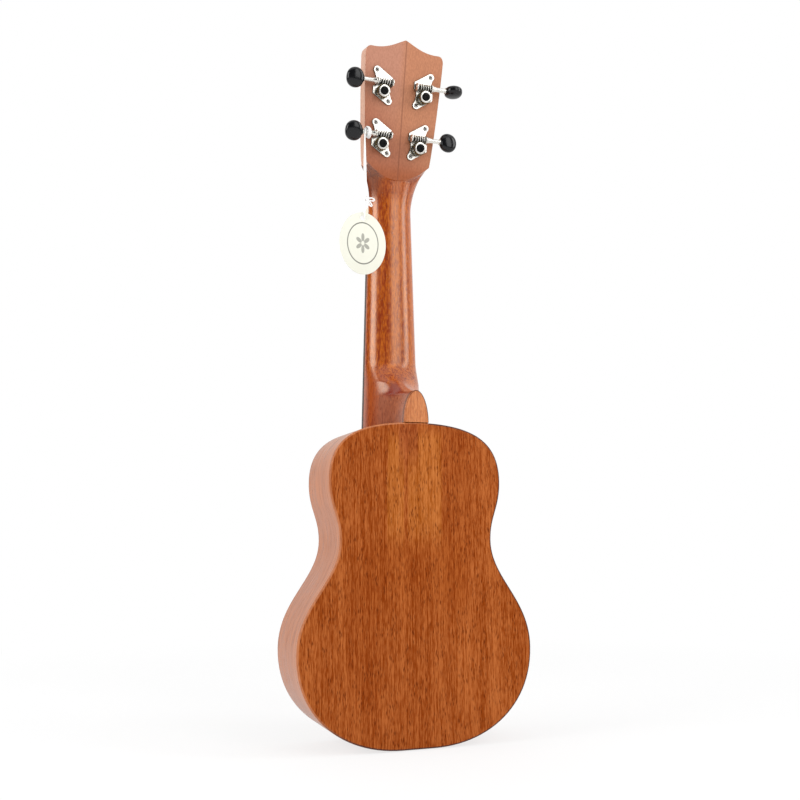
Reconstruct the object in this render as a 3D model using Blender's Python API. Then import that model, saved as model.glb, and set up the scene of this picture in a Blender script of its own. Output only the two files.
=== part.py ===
# Soprano ukulele: sound box, neck, strings, hang tag and four open-gear tuners that turn.
# Metres. +Z runs up the neck, the soundboard faces -Y, the back faces +Y, and +X is the treble side.
# The origin is the middle of the flat at the tail, half way through the depth of the sound box.

import math

import bmesh
import bpy
from mathutils import Matrix, Vector

# Gaps: between glued faces, between faces that turn or are pressed in, and in the worm mesh
GLUE = 0.0002
FIT = 0.0003
MESH_GAP = 0.0003
# Edges that turn more than this are shaded sharp
SHARP_ANGLE = math.radians(35)

# Sound box outline, seen from the front: widths, and where along the length they lie
BODY_LENGTH = 0.229
BODY_DEPTH = 0.0595
TAIL_FLAT = 0.024
TAIL_SEAM_OFFSET = 0.006
LOWER_BOUT_WIDTH = 0.176
LOWER_BOUT_AT = 0.0666
WAIST_WIDTH = 0.115
WAIST_AT = 0.144
UPPER_BOUT_WIDTH = 0.131
UPPER_BOUT_AT = 0.187
# How full each stretch of the outline is, at its start and at its end
TAIL_FULLNESS = (0.55, 0.63)
HIP_FULLNESS = (0.45, 0.36)
CHEST_FULLNESS = (0.41, 0.45)
SHOULDER_FULLNESS = (0.71, 0.69)
OUTLINE_STEPS = 11

# Sound box walls and the wood inside it
PLATE_THICKNESS = 0.0018
PLATE_EDGE_ROUND = 0.0006
RIB_THICKNESS = 0.0018
LINING_WIDTH = 0.004
LINING_HEIGHT = 0.007
LINING_FOOT = 0.0015
NECK_BLOCK_WIDTH = 0.046
NECK_BLOCK_LENGTH = 0.021
TAIL_BLOCK_WIDTH = 0.042
TAIL_BLOCK_LENGTH = 0.014
SOUNDHOLE_RADIUS = 0.024
SOUNDHOLE_AT = 0.149
HOLE_SIDES = 32
TOP_BRACE_WIDTH = 0.005
TOP_BRACE_HEIGHT = 0.008
UPPER_TOP_BRACE_AT = 0.181
LOWER_TOP_BRACE_AT = 0.117
BACK_BRACE_WIDTH = 0.006
BACK_BRACE_HEIGHT = 0.010
UPPER_BACK_BRACE_AT = 0.180
LOWER_BACK_BRACE_AT = 0.072
BRACE_END_HEIGHT = 0.003
BRACE_END_TAPER = 0.016
BRACE_CREST = 0.0016

# Scale, fretboard, frets and nut
SCALE_LENGTH = 0.350
SADDLE_SETBACK = 0.001
FRET_COUNT = 12
NOTES_PER_OCTAVE = 12
FRETBOARD_THICKNESS = 0.0045
FRETBOARD_NUT_WIDTH = 0.035
FRETBOARD_BODY_WIDTH = 0.0425
FRETBOARD_OVERHANG = 0.009
FRET_WIDTH = 0.0020
FRET_HEIGHT = 0.0010
FRET_END_INSET = 0.0003
TANG_WIDTH = 0.0006
TANG_DEPTH = 0.0017
CROWN_STEPS = 5
NUT_THICKNESS = 0.005
NUT_RISE = 0.0009

# Neck, heel and heel cap
NECK_NUT_DEPTH = 0.0124
NECK_HEEL_DEPTH = 0.0150
NECK_ROUND = 0.60
NECK_KEEL = 0.0004
HEEL_LENGTH = 0.054
HEEL_SWEEP = 2.2
HEEL_SHOULDER = 0.34
HEEL_WAIST = 0.52
HEEL_CAP_WIDTH = 0.019
HEEL_CAP_LENGTH = 0.024
HEEL_CAP_THICKNESS = 0.0022
HEEL_ROUND = 0.0012
TENON_WIDTH = 0.016
TENON_LENGTH = 0.014
TENON_ROOT = 0.006
SECTION_STEPS = 10

# Headstock: lengths run up its back face from the nut line
HEAD_TILT = math.radians(12.9)
HEAD_BACK_SETBACK = 0.0132
HEAD_THICKNESS = 0.012
HEAD_LENGTH = 0.1323
HEAD_SHOULDER_AT = 0.1243
HEAD_SHOULDER_WIDTH = 0.054
HEAD_CORNER_AT = 0.1185
HEAD_TOP_WIDTH = 0.0626
HEAD_JOWL_AT = 0.0364
HEAD_JOWL_WIDTH = 0.0506
HEAD_FLARE_AT = 0.022
# The outline's handles, as shares of each stretch: across it and along it
HEAD_SIDE_HANDLES = ((0.32, 0.13), (0.88, 0.72))
HEAD_CORNER_HANDLES = ((0, 0.6), (0.35, 1))
HEAD_CROWN_HANDLES = ((0.48, -0.09), (0.74, 0.64))
HEAD_ROOT_SHARE = 0.45
FLARE_CURVE = 1.9
FLARE_LIFT = 0.0347
LIFT_CURVE = 2.64

# Bridge, saddle and strings
BRIDGE_WIDTH = 0.076
BRIDGE_BLOCK_WIDTH = 0.052
BRIDGE_LENGTH = 0.020
BRIDGE_HEIGHT = 0.0075
BRIDGE_WING_HEIGHT = 0.0032
BRIDGE_WING_SLOPE = 0.004
BRIDGE_WING_EDGE = 0.0022
BRIDGE_FRONT = 0.0055
SADDLE_THICKNESS = 0.003
SADDLE_WIDTH = 0.047
SADDLE_SLOT_DEPTH = 0.004
STRING_NUT_SPREAD = 0.0270
STRING_SADDLE_SPREAD = 0.0405
STRING_NUT_CLEARANCE = 0.0004
ACTION_AT_TWELFTH = 0.0026
STRING_END_HEIGHT = 0.0040
STRING_SLOT_PLAY = 0.0004
STRING_DIAMETERS = {"g": 0.00062, "c": 0.00092, "e": 0.00081, "a": 0.00064}
WINDING_TURNS = 2.25
WINDING_GAP = 0.0006
LOOP_POINTS = 20

# Tuners: places on the headstock's back face, and sizes measured from the post's axis
UPPER_POST_AT = 0.0897
UPPER_POST_SPREAD = 0.0345
LOWER_POST_AT = 0.0496
LOWER_POST_SPREAD = 0.0312
TUNER_PLATE_THICKNESS = 0.0012
PLATE_LOBE_RADIUS = 0.0029
PLATE_LOBE_TURNS = (math.radians(-50), math.radians(122))
PLATE_CENTRE = (-0.0003, 0.0052)
PLATE_SCREW_REACH = (0.0053, 0.0115)
PLATE_CORNER_REACH = (0.0079, 0.0066)
PLATE_NOTCH_TOP = 0.0056
PLATE_NOTCH_FOOT = 0.0002
PLATE_NOTCH_SLOPE = 0.0010
PLATE_SCREW_RADIUS = 0.0017
PLATE_SCREW_FACE_RADIUS = 0.0011
PLATE_SCREW_HEIGHT = 0.0008
GEAR_TEETH = 16
GEAR_TIP_RADIUS = 0.0053
GEAR_THICKNESS = 0.0036
GEAR_RIM_RADIUS = 0.0047
GEAR_RIM_THICKNESS = 0.0008
TOOTH_HEIGHT = 0.0011
TOOTH_ADDENDUM = 0.0004
TOOTH_TIP_WIDTH = 0.00045
TOOTH_ROOT_WIDTH = 0.0010
WORM_ROOT_RADIUS = 0.0016
WORM_HEIGHT = 0.0050
THREAD_TIP_WIDTH = 0.0004
THREAD_ROOT_WIDTH = 0.0010
THREAD_TURNS_IN = 3
THREAD_TURNS_OUT = 2
THREAD_RUN_OUT = 0.5
TURN_STEPS = 12
SHAFT_RADIUS = 0.0015
EAR_THICKNESS = 0.0010
EAR_HALF_WIDTH = 0.0030
COLLAR_RADIUS = 0.0022
COLLAR_LENGTH = 0.0015
BUTTON_AT = 0.0168
BUTTON_LENGTH = 0.0136
BUTTON_WIDTH = 0.0154
BUTTON_THICKNESS = 0.0084
BUTTON_NECK_RADIUS = 0.0026
BUTTON_BORE_DEPTH = 0.0070
BUTTON_SQUARENESS = 2.4
BUTTON_LEAN = 1.05
BUTTON_SWELL = 0.8
BUTTON_EDGE_SWELL = 0.55
# How far each button is turned on its shaft, in degrees
BUTTON_TURNS = {"g": -18, "c": 78, "e": 4, "a": 12}
ROUND_STEPS = 12
SMALL_STEPS = 10
BUTTON_STEPS = 16
POST_RADIUS = 0.0030
POST_WAIST_RADIUS = 0.0026
POST_RISE = 0.0130
POST_LIP = 0.0022
POST_COLLAR_RADIUS = 0.0041
POST_EYE_RADIUS = 0.0008
POST_EYE_DROP = 0.0039
BUSHING_RADIUS = 0.0040
BUSHING_DEPTH = 0.0070
BUSHING_FLANGE_RADIUS = 0.0053
BUSHING_FACE_RADIUS = 0.0048
BUSHING_FLANGE = 0.0012
SCREW_HEAD_RADIUS = 0.0032
SCREW_FACE_RADIUS = 0.0026
SCREW_HEAD_HEIGHT = 0.0013
SCREW_SHANK_RADIUS = 0.0011
SCREW_SHANK_LENGTH = 0.0045
SCREW_SLOT_WIDTH = 0.0009
SCREW_SLOT_DEPTH = 0.0006

# Hang tag on its cord, hung from the shaft of the lower treble tuner
TAG_WIDTH = 0.037
TAG_HEIGHT = 0.049
TAG_THICKNESS = 0.0005
TAG_DROP = 0.0650
TAG_EYE_RADIUS = 0.0020
TAG_EYE_INSET = 0.0045
TAG_SIDE_SHIFT = 0.0018
CORD_BESIDE_BUTTON = 0.0022
CORD_DIAMETER = 0.0011
CORD_PITCH = 2.4
# The cord's route beside the shaft's middle: across, behind and above it, in millimetres
CORD_ROUTE = (
    (-1.3, -0.6, -52.0), (-1.1, -0.9, -38.0), (-0.9, -1.5, -20.0), (-0.8, -2.3, -6.0),
    (-0.75, -2.55, -1.2), (-0.6, -2.15, 1.5), (-0.1, -0.9, 2.5), (0.1, 0.9, 2.5), (0.6, 2.15, 1.5),
    (0.75, 2.55, -1.2), (0.8, 2.3, -6.0), (0.9, 1.5, -20.0), (1.0, 1.0, -38.0), (1.0, 0.95, -55.0),
    (0.9, 1.3, -66.0), (0.8, 1.15, -68.7), (0.8, 0.0, -69.6), (0.8, -1.15, -68.7), (0.6, -1.3, -66.0),
    (0.4, -0.9, -58.0), (0.5, -0.8, -53.5),
)
MILLIMETRE = 0.001

HALF_DEPTH = BODY_DEPTH / 2
NUT_AT = BODY_LENGTH + SCALE_LENGTH / 2
SADDLE_AT = NUT_AT - SCALE_LENGTH - SADDLE_SETBACK
BOARD_BACK = -HALF_DEPTH - GLUE
BOARD_FRONT = BOARD_BACK - FRETBOARD_THICKNESS
FRET_SEAT = BOARD_FRONT - GLUE
FRET_TOP = FRET_SEAT - FRET_HEIGHT
INNER_FACE = HALF_DEPTH - PLATE_THICKNESS - GLUE
LINING_OUTSIDE = RIB_THICKNESS + GLUE
NUT_SHELF_END = NUT_AT + GLUE + NUT_THICKNESS + FIT
WORM_AXIS = GEAR_TIP_RADIUS + WORM_ROOT_RADIUS + MESH_GAP
GEAR_ROOT_RADIUS = GEAR_TIP_RADIUS - TOOTH_HEIGHT
GEAR_PITCH_RADIUS = GEAR_TIP_RADIUS - TOOTH_ADDENDUM
WORM_TIP_RADIUS = WORM_AXIS - GEAR_ROOT_RADIUS - MESH_GAP
WORM_LEAD = 2 * math.pi * GEAR_PITCH_RADIUS / GEAR_TEETH
WORM_PITCH_RADIUS = WORM_AXIS - GEAR_PITCH_RADIUS
TOOTH_TWIST = WORM_LEAD / (2 * math.pi * WORM_PITCH_RADIUS * GEAR_PITCH_RADIUS)
GEAR_LOW = WORM_HEIGHT - GEAR_THICKNESS / 2
GEAR_HIGH = WORM_HEIGHT + GEAR_THICKNESS / 2
GEAR_RIM_TOP = GEAR_HIGH + GEAR_RIM_THICKNESS
TUNER_PLATE_TOP = GLUE + TUNER_PLATE_THICKNESS
THREAD_START = -THREAD_TURNS_IN * WORM_LEAD - THREAD_ROOT_WIDTH / 2
THREAD_END = THREAD_TURNS_OUT * WORM_LEAD + THREAD_ROOT_WIDTH / 2
INNER_EAR = THREAD_START - FIT - EAR_THICKNESS
OUTER_EAR = THREAD_END + FIT
HEAD_FRONT = -HEAD_THICKNESS
STRING_NAMES = ("g", "c", "e", "a")

# The headstock's own frame: local x across, y up its back face from the nut line, z out of the back
HEAD_FRAME = Matrix((
    (-1, 0, 0, 0),
    (0, math.sin(HEAD_TILT), math.cos(HEAD_TILT), HEAD_BACK_SETBACK - HALF_DEPTH),
    (0, math.cos(HEAD_TILT), -math.sin(HEAD_TILT), NUT_AT),
    (0, 0, 0, 1),
))


# Building blocks

def clear_scene():
    for obj in list(bpy.data.objects):
        bpy.data.objects.remove(obj, do_unlink=True)


def material(name, colour, roughness, metallic=0.0):
    made = bpy.data.materials.new(name)
    made.use_nodes = True
    shader = made.node_tree.nodes["Principled BSDF"]
    shader.inputs["Base Color"].default_value = (*colour, 1)
    shader.inputs["Roughness"].default_value = roughness
    shader.inputs["Metallic"].default_value = metallic
    return made


def add(name, mesh, look, parent=None, place=(0, 0, 0)):
    mesh.name = name
    mesh.materials.append(look)
    mesh.shade_smooth()
    mesh.set_sharp_from_angle(angle=SHARP_ANGLE)
    obj = bpy.data.objects.new(name, mesh)
    bpy.context.scene.collection.objects.link(obj)
    obj.parent = parent
    obj.location = place
    return obj


def empty(name, matrix, parent=None):
    made = bpy.data.objects.new(name, None)
    bpy.context.scene.collection.objects.link(made)
    made.parent = parent
    made.matrix_local = matrix
    return made


def finish_mesh(shape):
    bmesh.ops.recalc_face_normals(shape, faces=shape.faces)
    mesh = bpy.data.meshes.new("shape")
    shape.to_mesh(mesh)
    shape.free()
    return mesh


# A solid through rings of points: capped at both ends, or joined end to start
def loft(rings, joined=False):
    shape = bmesh.new()
    made = [[shape.verts.new(point) for point in ring] for ring in rings]
    pairs = list(zip(made, made[1:]))
    if joined:
        pairs.append((made[-1], made[0]))
    for low, high in pairs:
        for i, corner in enumerate(low):
            j = (i + 1) % len(low)
            shape.faces.new((corner, low[j], high[j], high[i]))
    if not joined:
        shape.faces.new(made[0])
        shape.faces.new(made[-1])
    return finish_mesh(shape)


def prism(outline, low, high, place):
    return loft([[place(a, b, level) for a, b in outline] for level in (low, high)])


def box(low, high):
    outline = ((low[0], low[1]), (high[0], low[1]), (high[0], high[1]), (low[0], high[1]))
    return prism(outline, low[2], high[2], lambda a, b, level: (a, b, level))


def circle(radius, steps=ROUND_STEPS):
    turns = (2 * math.pi * i / steps for i in range(steps))
    return [(radius * math.cos(turn), radius * math.sin(turn)) for turn in turns]


# A round solid about the local z axis from (radius, height) pairs
def turned(profile, joined=False, steps=ROUND_STEPS):
    rings = [[(a, b, height) for a, b in circle(radius, steps)] for radius, height in profile]
    return loft(rings, joined)


def cylinder_along_x(radius, low, high, centre):
    spots = circle(radius)
    return loft([[(x, centre[0] + a, centre[1] + b) for a, b in spots] for x in (low, high)])


def moved(mesh, matrix):
    mesh.transform(matrix)
    if matrix.is_negative:
        mesh.flip_normals()
    return mesh


def combined(mesh, operation, tools):
    base = bpy.data.objects.new("base", mesh)
    bpy.context.scene.collection.objects.link(base)
    helpers = []
    for tool in tools:
        helper = bpy.data.objects.new("tool", tool)
        bpy.context.scene.collection.objects.link(helper)
        helper.hide_render = True
        helper.display_type = "WIRE"
        step = base.modifiers.new(operation, "BOOLEAN")
        step.operation = operation
        step.solver = "EXACT"
        step.object = helper
        helpers.append(helper)
    bpy.context.view_layer.update()
    graph = bpy.context.evaluated_depsgraph_get()
    result = bpy.data.meshes.new_from_object(base.evaluated_get(graph))
    for obj in [base, *helpers]:
        bpy.data.objects.remove(obj, do_unlink=True)
    return result


def bezier_point(curve, t):
    p0, p1, p2, p3 = (Vector(point) for point in curve)
    s = 1 - t
    return s * s * s * p0 + 3 * s * s * t * p1 + 3 * s * t * t * p2 + t * t * t * p3


def bezier_slope(curve, t):
    p0, p1, p2, p3 = (Vector(point) for point in curve)
    s = 1 - t
    return 3 * s * s * (p1 - p0) + 6 * s * t * (p2 - p1) + 3 * t * t * (p3 - p2)


def mix(a, b, share):
    return a + (b - a) * share


# The smooth curve through a route's points, read at even steps
def smooth_path(route, step):
    points = [Vector(point) for point in route]
    ends = [2 * points[0] - points[1], *points, 2 * points[-1] - points[-2]]
    samples = 12
    fine = []
    for before, start, end, after in zip(ends, ends[1:], ends[2:], ends[3:]):
        handles = (start, start + (end - before) / 6, end - (after - start) / 6, end)
        fine += [bezier_point(handles, k / samples) for k in range(samples)]
    fine.append(points[-1])
    lengths = [0.0]
    for start, end in zip(fine, fine[1:]):
        lengths.append(lengths[-1] + (end - start).length)
    count = max(2, round(lengths[-1] / step))
    path = []
    spot = 0
    for k in range(count + 1):
        wanted = lengths[-1] * k / count
        while spot < len(fine) - 2 and lengths[spot + 1] < wanted:
            spot += 1
        share = (wanted - lengths[spot]) / (lengths[spot + 1] - lengths[spot])
        path.append(fine[spot].lerp(fine[spot + 1], min(1.0, share)))
    return path


def tube(name, path, diameter, look, sides_step, parent=None):
    curve = bpy.data.curves.new(name, "CURVE")
    curve.dimensions = "3D"
    curve.bevel_depth = diameter / 2
    curve.bevel_resolution = sides_step
    curve.use_fill_caps = True
    spline = curve.splines.new("POLY")
    spline.points.add(len(path) - 1)
    for point, place in zip(spline.points, path):
        point.co = (*place, 1)
    curve.materials.append(look)
    obj = bpy.data.objects.new(name, curve)
    bpy.context.scene.collection.objects.link(obj)
    obj.parent = parent
    return obj


# The least gap of a wound tube to itself, between points more than half a loop apart
def least_gap(path, diameter):
    apart = LOOP_POINTS // 2
    gaps = [(a - b).length for i, a in enumerate(path) for b in path[i + apart:]]
    return min(gaps) - diameter


# Sound box

def outline_curves():
    tail = TAIL_FLAT / 2
    lower = LOWER_BOUT_WIDTH / 2
    waist = WAIST_WIDTH / 2
    upper = UPPER_BOUT_WIDTH / 2
    hip = WAIST_AT - LOWER_BOUT_AT
    chest = UPPER_BOUT_AT - WAIST_AT
    shoulder = BODY_LENGTH - UPPER_BOUT_AT
    return (
        ((tail, 0), (mix(tail, lower, TAIL_FULLNESS[0]), 0),
         (lower, LOWER_BOUT_AT * (1 - TAIL_FULLNESS[1])), (lower, LOWER_BOUT_AT)),
        ((lower, LOWER_BOUT_AT), (lower, LOWER_BOUT_AT + HIP_FULLNESS[0] * hip),
         (waist, WAIST_AT - HIP_FULLNESS[1] * hip), (waist, WAIST_AT)),
        ((waist, WAIST_AT), (waist, WAIST_AT + CHEST_FULLNESS[0] * chest),
         (upper, UPPER_BOUT_AT - CHEST_FULLNESS[1] * chest), (upper, UPPER_BOUT_AT)),
        ((upper, UPPER_BOUT_AT), (upper, UPPER_BOUT_AT + SHOULDER_FULLNESS[0] * shoulder),
         (SHOULDER_FULLNESS[1] * upper, BODY_LENGTH), (0, BODY_LENGTH)),
    )


# Where along a curve its x comes down to a wanted value
def share_at_x(curve, x):
    low, high = 0.0, 1.0
    for _ in range(40):
        middle = (low + high) / 2
        if bezier_point(curve, middle).x > x:
            low = middle
        else:
            high = middle
    return (low + high) / 2


# The treble half of the outline as (point, outward normal), from the tail at start_x to the top at end_x
def half_outline(start_x=0.0, end_x=0.0):
    curves = outline_curves()
    down = Vector((0, -1))
    spots = [(Vector((start_x, 0)), down)]
    for number, curve in enumerate(curves):
        last = number == len(curves) - 1
        reach = share_at_x(curve, end_x) if last else 1.0
        for k in range(OUTLINE_STEPS + last):
            t = reach * k / OUTLINE_STEPS
            slope = bezier_slope(curve, t).normalized()
            spots.append((bezier_point(curve, t), Vector((slope.y, -slope.x))))
    return spots


def inset(spot, distance):
    return spot[0] - spot[1] * distance


def whole_outline(distance):
    half = [inset(spot, distance) for spot in half_outline()]
    other = [Vector((-point.x, point.y)) for point in half[1:-1]]
    return half + other[::-1]


def half_width_at(z, distance):
    spots = [inset(spot, distance) for spot in half_outline()]
    for low, high in zip(spots, spots[1:]):
        if low.y <= z <= high.y and high.y > low.y:
            return mix(low.x, high.x, (z - low.y) / (high.y - low.y))
    return 0.0


def body_top(x):
    curve = outline_curves()[-1]
    return bezier_point(curve, share_at_x(curve, abs(x))).y


def from_outline(a, b, level):
    return (a, level, b)


# A plate with its outer edge softened; side is -1 for the soundboard and 1 for the back
def plate_mesh(side):
    rings = []
    for distance, level in (
        (0, HALF_DEPTH - PLATE_THICKNESS),
        (0, HALF_DEPTH - PLATE_EDGE_ROUND),
        (PLATE_EDGE_ROUND, HALF_DEPTH),
    ):
        rings.append([(point.x, side * level, point.y) for point in whole_outline(distance)])
    return loft(rings)


def add_plates(wood):
    front = plate_mesh(-1)
    middle = -HALF_DEPTH
    hole = [(a, SOUNDHOLE_AT + b) for a, b in circle(SOUNDHOLE_RADIUS, HOLE_SIDES)]
    drill = prism(hole, middle - PLATE_THICKNESS, middle + 2 * PLATE_THICKNESS, from_outline)
    add("soundboard", combined(front, "DIFFERENCE", [drill]), wood)
    add("back_plate", plate_mesh(1), wood)


# A strip that follows the outline: each corner is a distance in from the outline and a level
def strip(spots, corners):
    rings = []
    for spot in spots:
        ring = []
        for distance, level in corners:
            point = inset(spot, distance)
            ring.append((point.x, level, point.y))
        rings.append(ring)
    return loft(rings)


def mirror_spots(spots):
    return [(Vector((-p.x, p.y)), Vector((-n.x, n.y))) for p, n in spots]


# The two ribs meet on the tail flat, a little to the bass side of its middle
def add_ribs(wood):
    corners = ((0, -INNER_FACE), (0, INNER_FACE), (RIB_THICKNESS, INNER_FACE), (RIB_THICKNESS, -INNER_FACE))
    top_end = TENON_WIDTH / 2 + FIT
    treble = half_outline(GLUE / 2 - TAIL_SEAM_OFFSET, top_end)
    bass = mirror_spots(half_outline(GLUE / 2 + TAIL_SEAM_OFFSET, top_end))
    add("rib_treble", strip(treble, corners), wood)
    add("rib_bass", strip(bass, corners), wood)


# A lining runs round the tail from one side of the neck block to the other, tapering away from its plate
def lining_mesh(side, spare):
    depth = LINING_OUTSIDE + LINING_WIDTH
    wanted = NECK_BLOCK_WIDTH / 2 + FIT
    lean = half_outline(0.0, wanted + depth / 2)[-1][1].x
    outer = LINING_OUTSIDE - spare
    inner = LINING_OUTSIDE + LINING_WIDTH + spare
    foot = LINING_OUTSIDE + LINING_FOOT + spare
    seat = INNER_FACE - GLUE + 2 * spare
    tip = INNER_FACE - GLUE - LINING_HEIGHT - spare
    corners = ((outer, side * seat), (inner, side * seat), (foot, side * tip), (outer, side * tip))
    spots = half_outline(0.0, wanted + depth * lean)
    return strip(mirror_spots(spots)[:0:-1] + spots, corners)


def block_top(x):
    return body_top(x) - RIB_THICKNESS - GLUE


def add_blocks(wood):
    reach = INNER_FACE - GLUE
    half = NECK_BLOCK_WIDTH / 2
    slot = TENON_WIDTH / 2 + FIT
    steps = 4
    side = [mix(half, slot, k / steps) for k in range(steps + 1)]
    foot = BODY_LENGTH - RIB_THICKNESS - NECK_BLOCK_LENGTH
    floor = BODY_LENGTH - TENON_LENGTH - FIT
    right = [(x, block_top(x)) for x in side] + [(slot, floor)]
    left = [(-x, z) for x, z in reversed(right)]
    outline = [(half, foot), *right, *left, (-half, foot)]
    add("neck_block", prism(outline, -reach, reach, from_outline), wood)
    half = TAIL_BLOCK_WIDTH / 2
    edge = [inset(spot, LINING_OUTSIDE) for spot in half_outline()]
    beyond = next(k for k, point in enumerate(edge) if point.x > half)
    before, after = edge[beyond - 1], edge[beyond]
    corner = before.lerp(after, (half - before.x) / (after.x - before.x))
    right = [tuple(point) for point in (*edge[:beyond], corner)] + [(half, LINING_OUTSIDE + TAIL_BLOCK_LENGTH)]
    left = [(-x, z) for x, z in reversed(right[1:])]
    tail = prism([*right, *left], -reach, reach, from_outline)
    grooves = [lining_mesh(side, FIT) for side in (-1, 1)]
    add("tail_block", combined(tail, "DIFFERENCE", grooves), wood)


def brace_mesh(side, at, width, height):
    clear = LINING_OUTSIDE + LINING_WIDTH + FIT
    half = min(half_width_at(at - width / 2, clear), half_width_at(at + width / 2, clear))
    seat = INNER_FACE - GLUE
    rings = []
    for x, rise in (
        (-half, BRACE_END_HEIGHT), (-half + BRACE_END_TAPER, height),
        (half - BRACE_END_TAPER, height), (half, BRACE_END_HEIGHT),
    ):
        ring = ((-width / 2, 0), (width / 2, 0), (width / 2, rise / 2),
                (BRACE_CREST / 2, rise), (-BRACE_CREST / 2, rise), (-width / 2, rise / 2))
        rings.append([(x, side * (seat - up), at + across) for across, up in ring])
    return loft(rings)


def add_braces(wood):
    top = (TOP_BRACE_WIDTH, TOP_BRACE_HEIGHT)
    back = (BACK_BRACE_WIDTH, BACK_BRACE_HEIGHT)
    add("soundboard_brace_upper", brace_mesh(-1, UPPER_TOP_BRACE_AT, *top), wood)
    add("soundboard_brace_lower", brace_mesh(-1, LOWER_TOP_BRACE_AT, *top), wood)
    add("back_brace_upper", brace_mesh(1, UPPER_BACK_BRACE_AT, *back), wood)
    add("back_brace_lower", brace_mesh(1, LOWER_BACK_BRACE_AT, *back), wood)


# Neck

def board_half_width(z):
    share = (NUT_AT - z) / (NUT_AT - BODY_LENGTH)
    return mix(FRETBOARD_NUT_WIDTH, FRETBOARD_BODY_WIDTH, share) / 2


# The headstock's front or back plane at a height, as y
def head_plane(level, z):
    along = (z - NUT_AT + level * math.sin(HEAD_TILT)) / math.cos(HEAD_TILT)
    return (HEAD_FRAME @ Vector((0, along, level))).y


def heel_half_width(z):
    rise = min(1.0, max(0.0, (z - BODY_LENGTH) / HEEL_CAP_LENGTH))
    return max(NECK_KEEL, HEEL_CAP_WIDTH / 2 * math.sqrt(1 - rise * rise))


# One cross-section of the neck as a ring of points
def neck_ring(z, half, front, back, heel):
    depth = back - front
    keel = heel_half_width(z)
    curve = (
        (half, front),
        (half, front + depth * mix(NECK_ROUND, HEEL_SHOULDER, heel)),
        (mix(NECK_ROUND * half, keel + HEEL_ROUND, heel), back - depth * HEEL_WAIST * heel),
        (keel, back),
    )
    side = [bezier_point(curve, k / SECTION_STEPS) for k in range(SECTION_STEPS + 1)]
    ring = side + [Vector((-point.x, point.y)) for point in reversed(side)]
    return [(point.x, point.y, z) for point in ring]


def heel_rings():
    cap_seat = HALF_DEPTH - HEEL_CAP_THICKNESS - GLUE
    shaft_back = NECK_HEEL_DEPTH - HALF_DEPTH
    tip = BODY_LENGTH + HEEL_CAP_LENGTH
    start = BODY_LENGTH + HEEL_LENGTH
    rings = []
    cap_steps = 7
    below = body_top(FRETBOARD_BODY_WIDTH / 2) - PLATE_THICKNESS
    turns = [math.pi / 2 * k / cap_steps for k in range(cap_steps)]
    for z in (below, *(mix(BODY_LENGTH, tip, math.sin(turn)) for turn in turns)):
        rings.append(neck_ring(z, board_half_width(z), -HALF_DEPTH, cap_seat, 1.0))
    sweep_steps = 9
    for k in range(sweep_steps):
        share = 1 - k / sweep_steps
        z = mix(start, tip, share)
        swell = 1 - (1 - share ** HEEL_SWEEP) ** (1 / HEEL_SWEEP)
        back = mix(shaft_back, cap_seat, swell)
        blend = share * share * (3 - 2 * share)
        rings.append(neck_ring(z, board_half_width(z), -HALF_DEPTH, back, blend))
    return rings


def shaft_rings():
    start = BODY_LENGTH + HEEL_LENGTH
    rings = []
    shaft_steps = 5
    for k in range(shaft_steps):
        share = k / shaft_steps
        z = mix(start, NUT_AT, share)
        back = mix(NECK_HEEL_DEPTH, NECK_NUT_DEPTH, share) - HALF_DEPTH
        rings.append(neck_ring(z, board_half_width(z), -HALF_DEPTH, back, 0.0))
    return rings


# From the nut the neck runs on under the headstock and flares out to its jowls
def flare_rings():
    shelf = head_plane(HEAD_FRONT, NUT_SHELF_END) + HALF_DEPTH
    flare = NUT_AT + HEAD_FLARE_AT * math.cos(HEAD_TILT)
    jowl = NUT_AT + HEAD_JOWL_AT * math.cos(HEAD_TILT)
    dip = head_plane(0, NUT_AT) + HALF_DEPTH - NECK_NUT_DEPTH
    rings = []
    steps = 3
    for z in (mix(NUT_AT, flare, k / steps) for k in range(steps)):
        front = -HALF_DEPTH if z < NUT_SHELF_END else head_plane(HEAD_FRONT, z) - shelf
        back = head_plane(0, z) - dip
        rings.append(neck_ring(z, FRETBOARD_NUT_WIDTH / 2, front, back, 0.0))
    steps = 9
    for share in (k / steps for k in range(steps + 1)):
        z = mix(flare, jowl, share)
        half = mix(FRETBOARD_NUT_WIDTH, HEAD_JOWL_WIDTH, share ** FLARE_CURVE) / 2
        front = head_plane(HEAD_FRONT, z) - shelf
        back = head_plane(0, z) - dip + FLARE_LIFT * share ** LIFT_CURVE
        rings.append(neck_ring(z, half, front, back, 0.0))
    closing = jowl + HEAD_THICKNESS * math.sin(HEAD_TILT)
    front = head_plane(HEAD_FRONT, closing) - shelf
    back = head_plane(0, closing) - dip + FLARE_LIFT
    rings.append(neck_ring(closing, HEAD_JOWL_WIDTH / 2, front, back, 0.0))
    return rings


def head_outline():
    jowl = HEAD_JOWL_WIDTH / 2
    top = HEAD_TOP_WIDTH / 2
    shoulder = HEAD_SHOULDER_WIDTH / 2
    corners = (Vector((jowl, HEAD_JOWL_AT)), Vector((top, HEAD_CORNER_AT)),
               Vector((shoulder, HEAD_SHOULDER_AT)), Vector((0, HEAD_LENGTH)))
    handles = (HEAD_SIDE_HANDLES, HEAD_CORNER_HANDLES, HEAD_CROWN_HANDLES)
    curves = []
    for start, end, shares in zip(corners, corners[1:], handles):
        span = end - start
        inner = [start + Vector((span.x * across, span.y * along)) for across, along in shares]
        curves.append((start, *inner, end))
    steps = 7
    neck_half = FRETBOARD_NUT_WIDTH / 2
    right = [(neck_half / 2, mix(HEAD_FLARE_AT, HEAD_JOWL_AT, HEAD_ROOT_SHARE))]
    for curve in curves:
        right += [tuple(bezier_point(curve, k / steps)) for k in range(steps)]
    left = [(-x, y) for x, y in reversed(right)]
    return [*right, (0, HEAD_LENGTH), *left]


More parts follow.
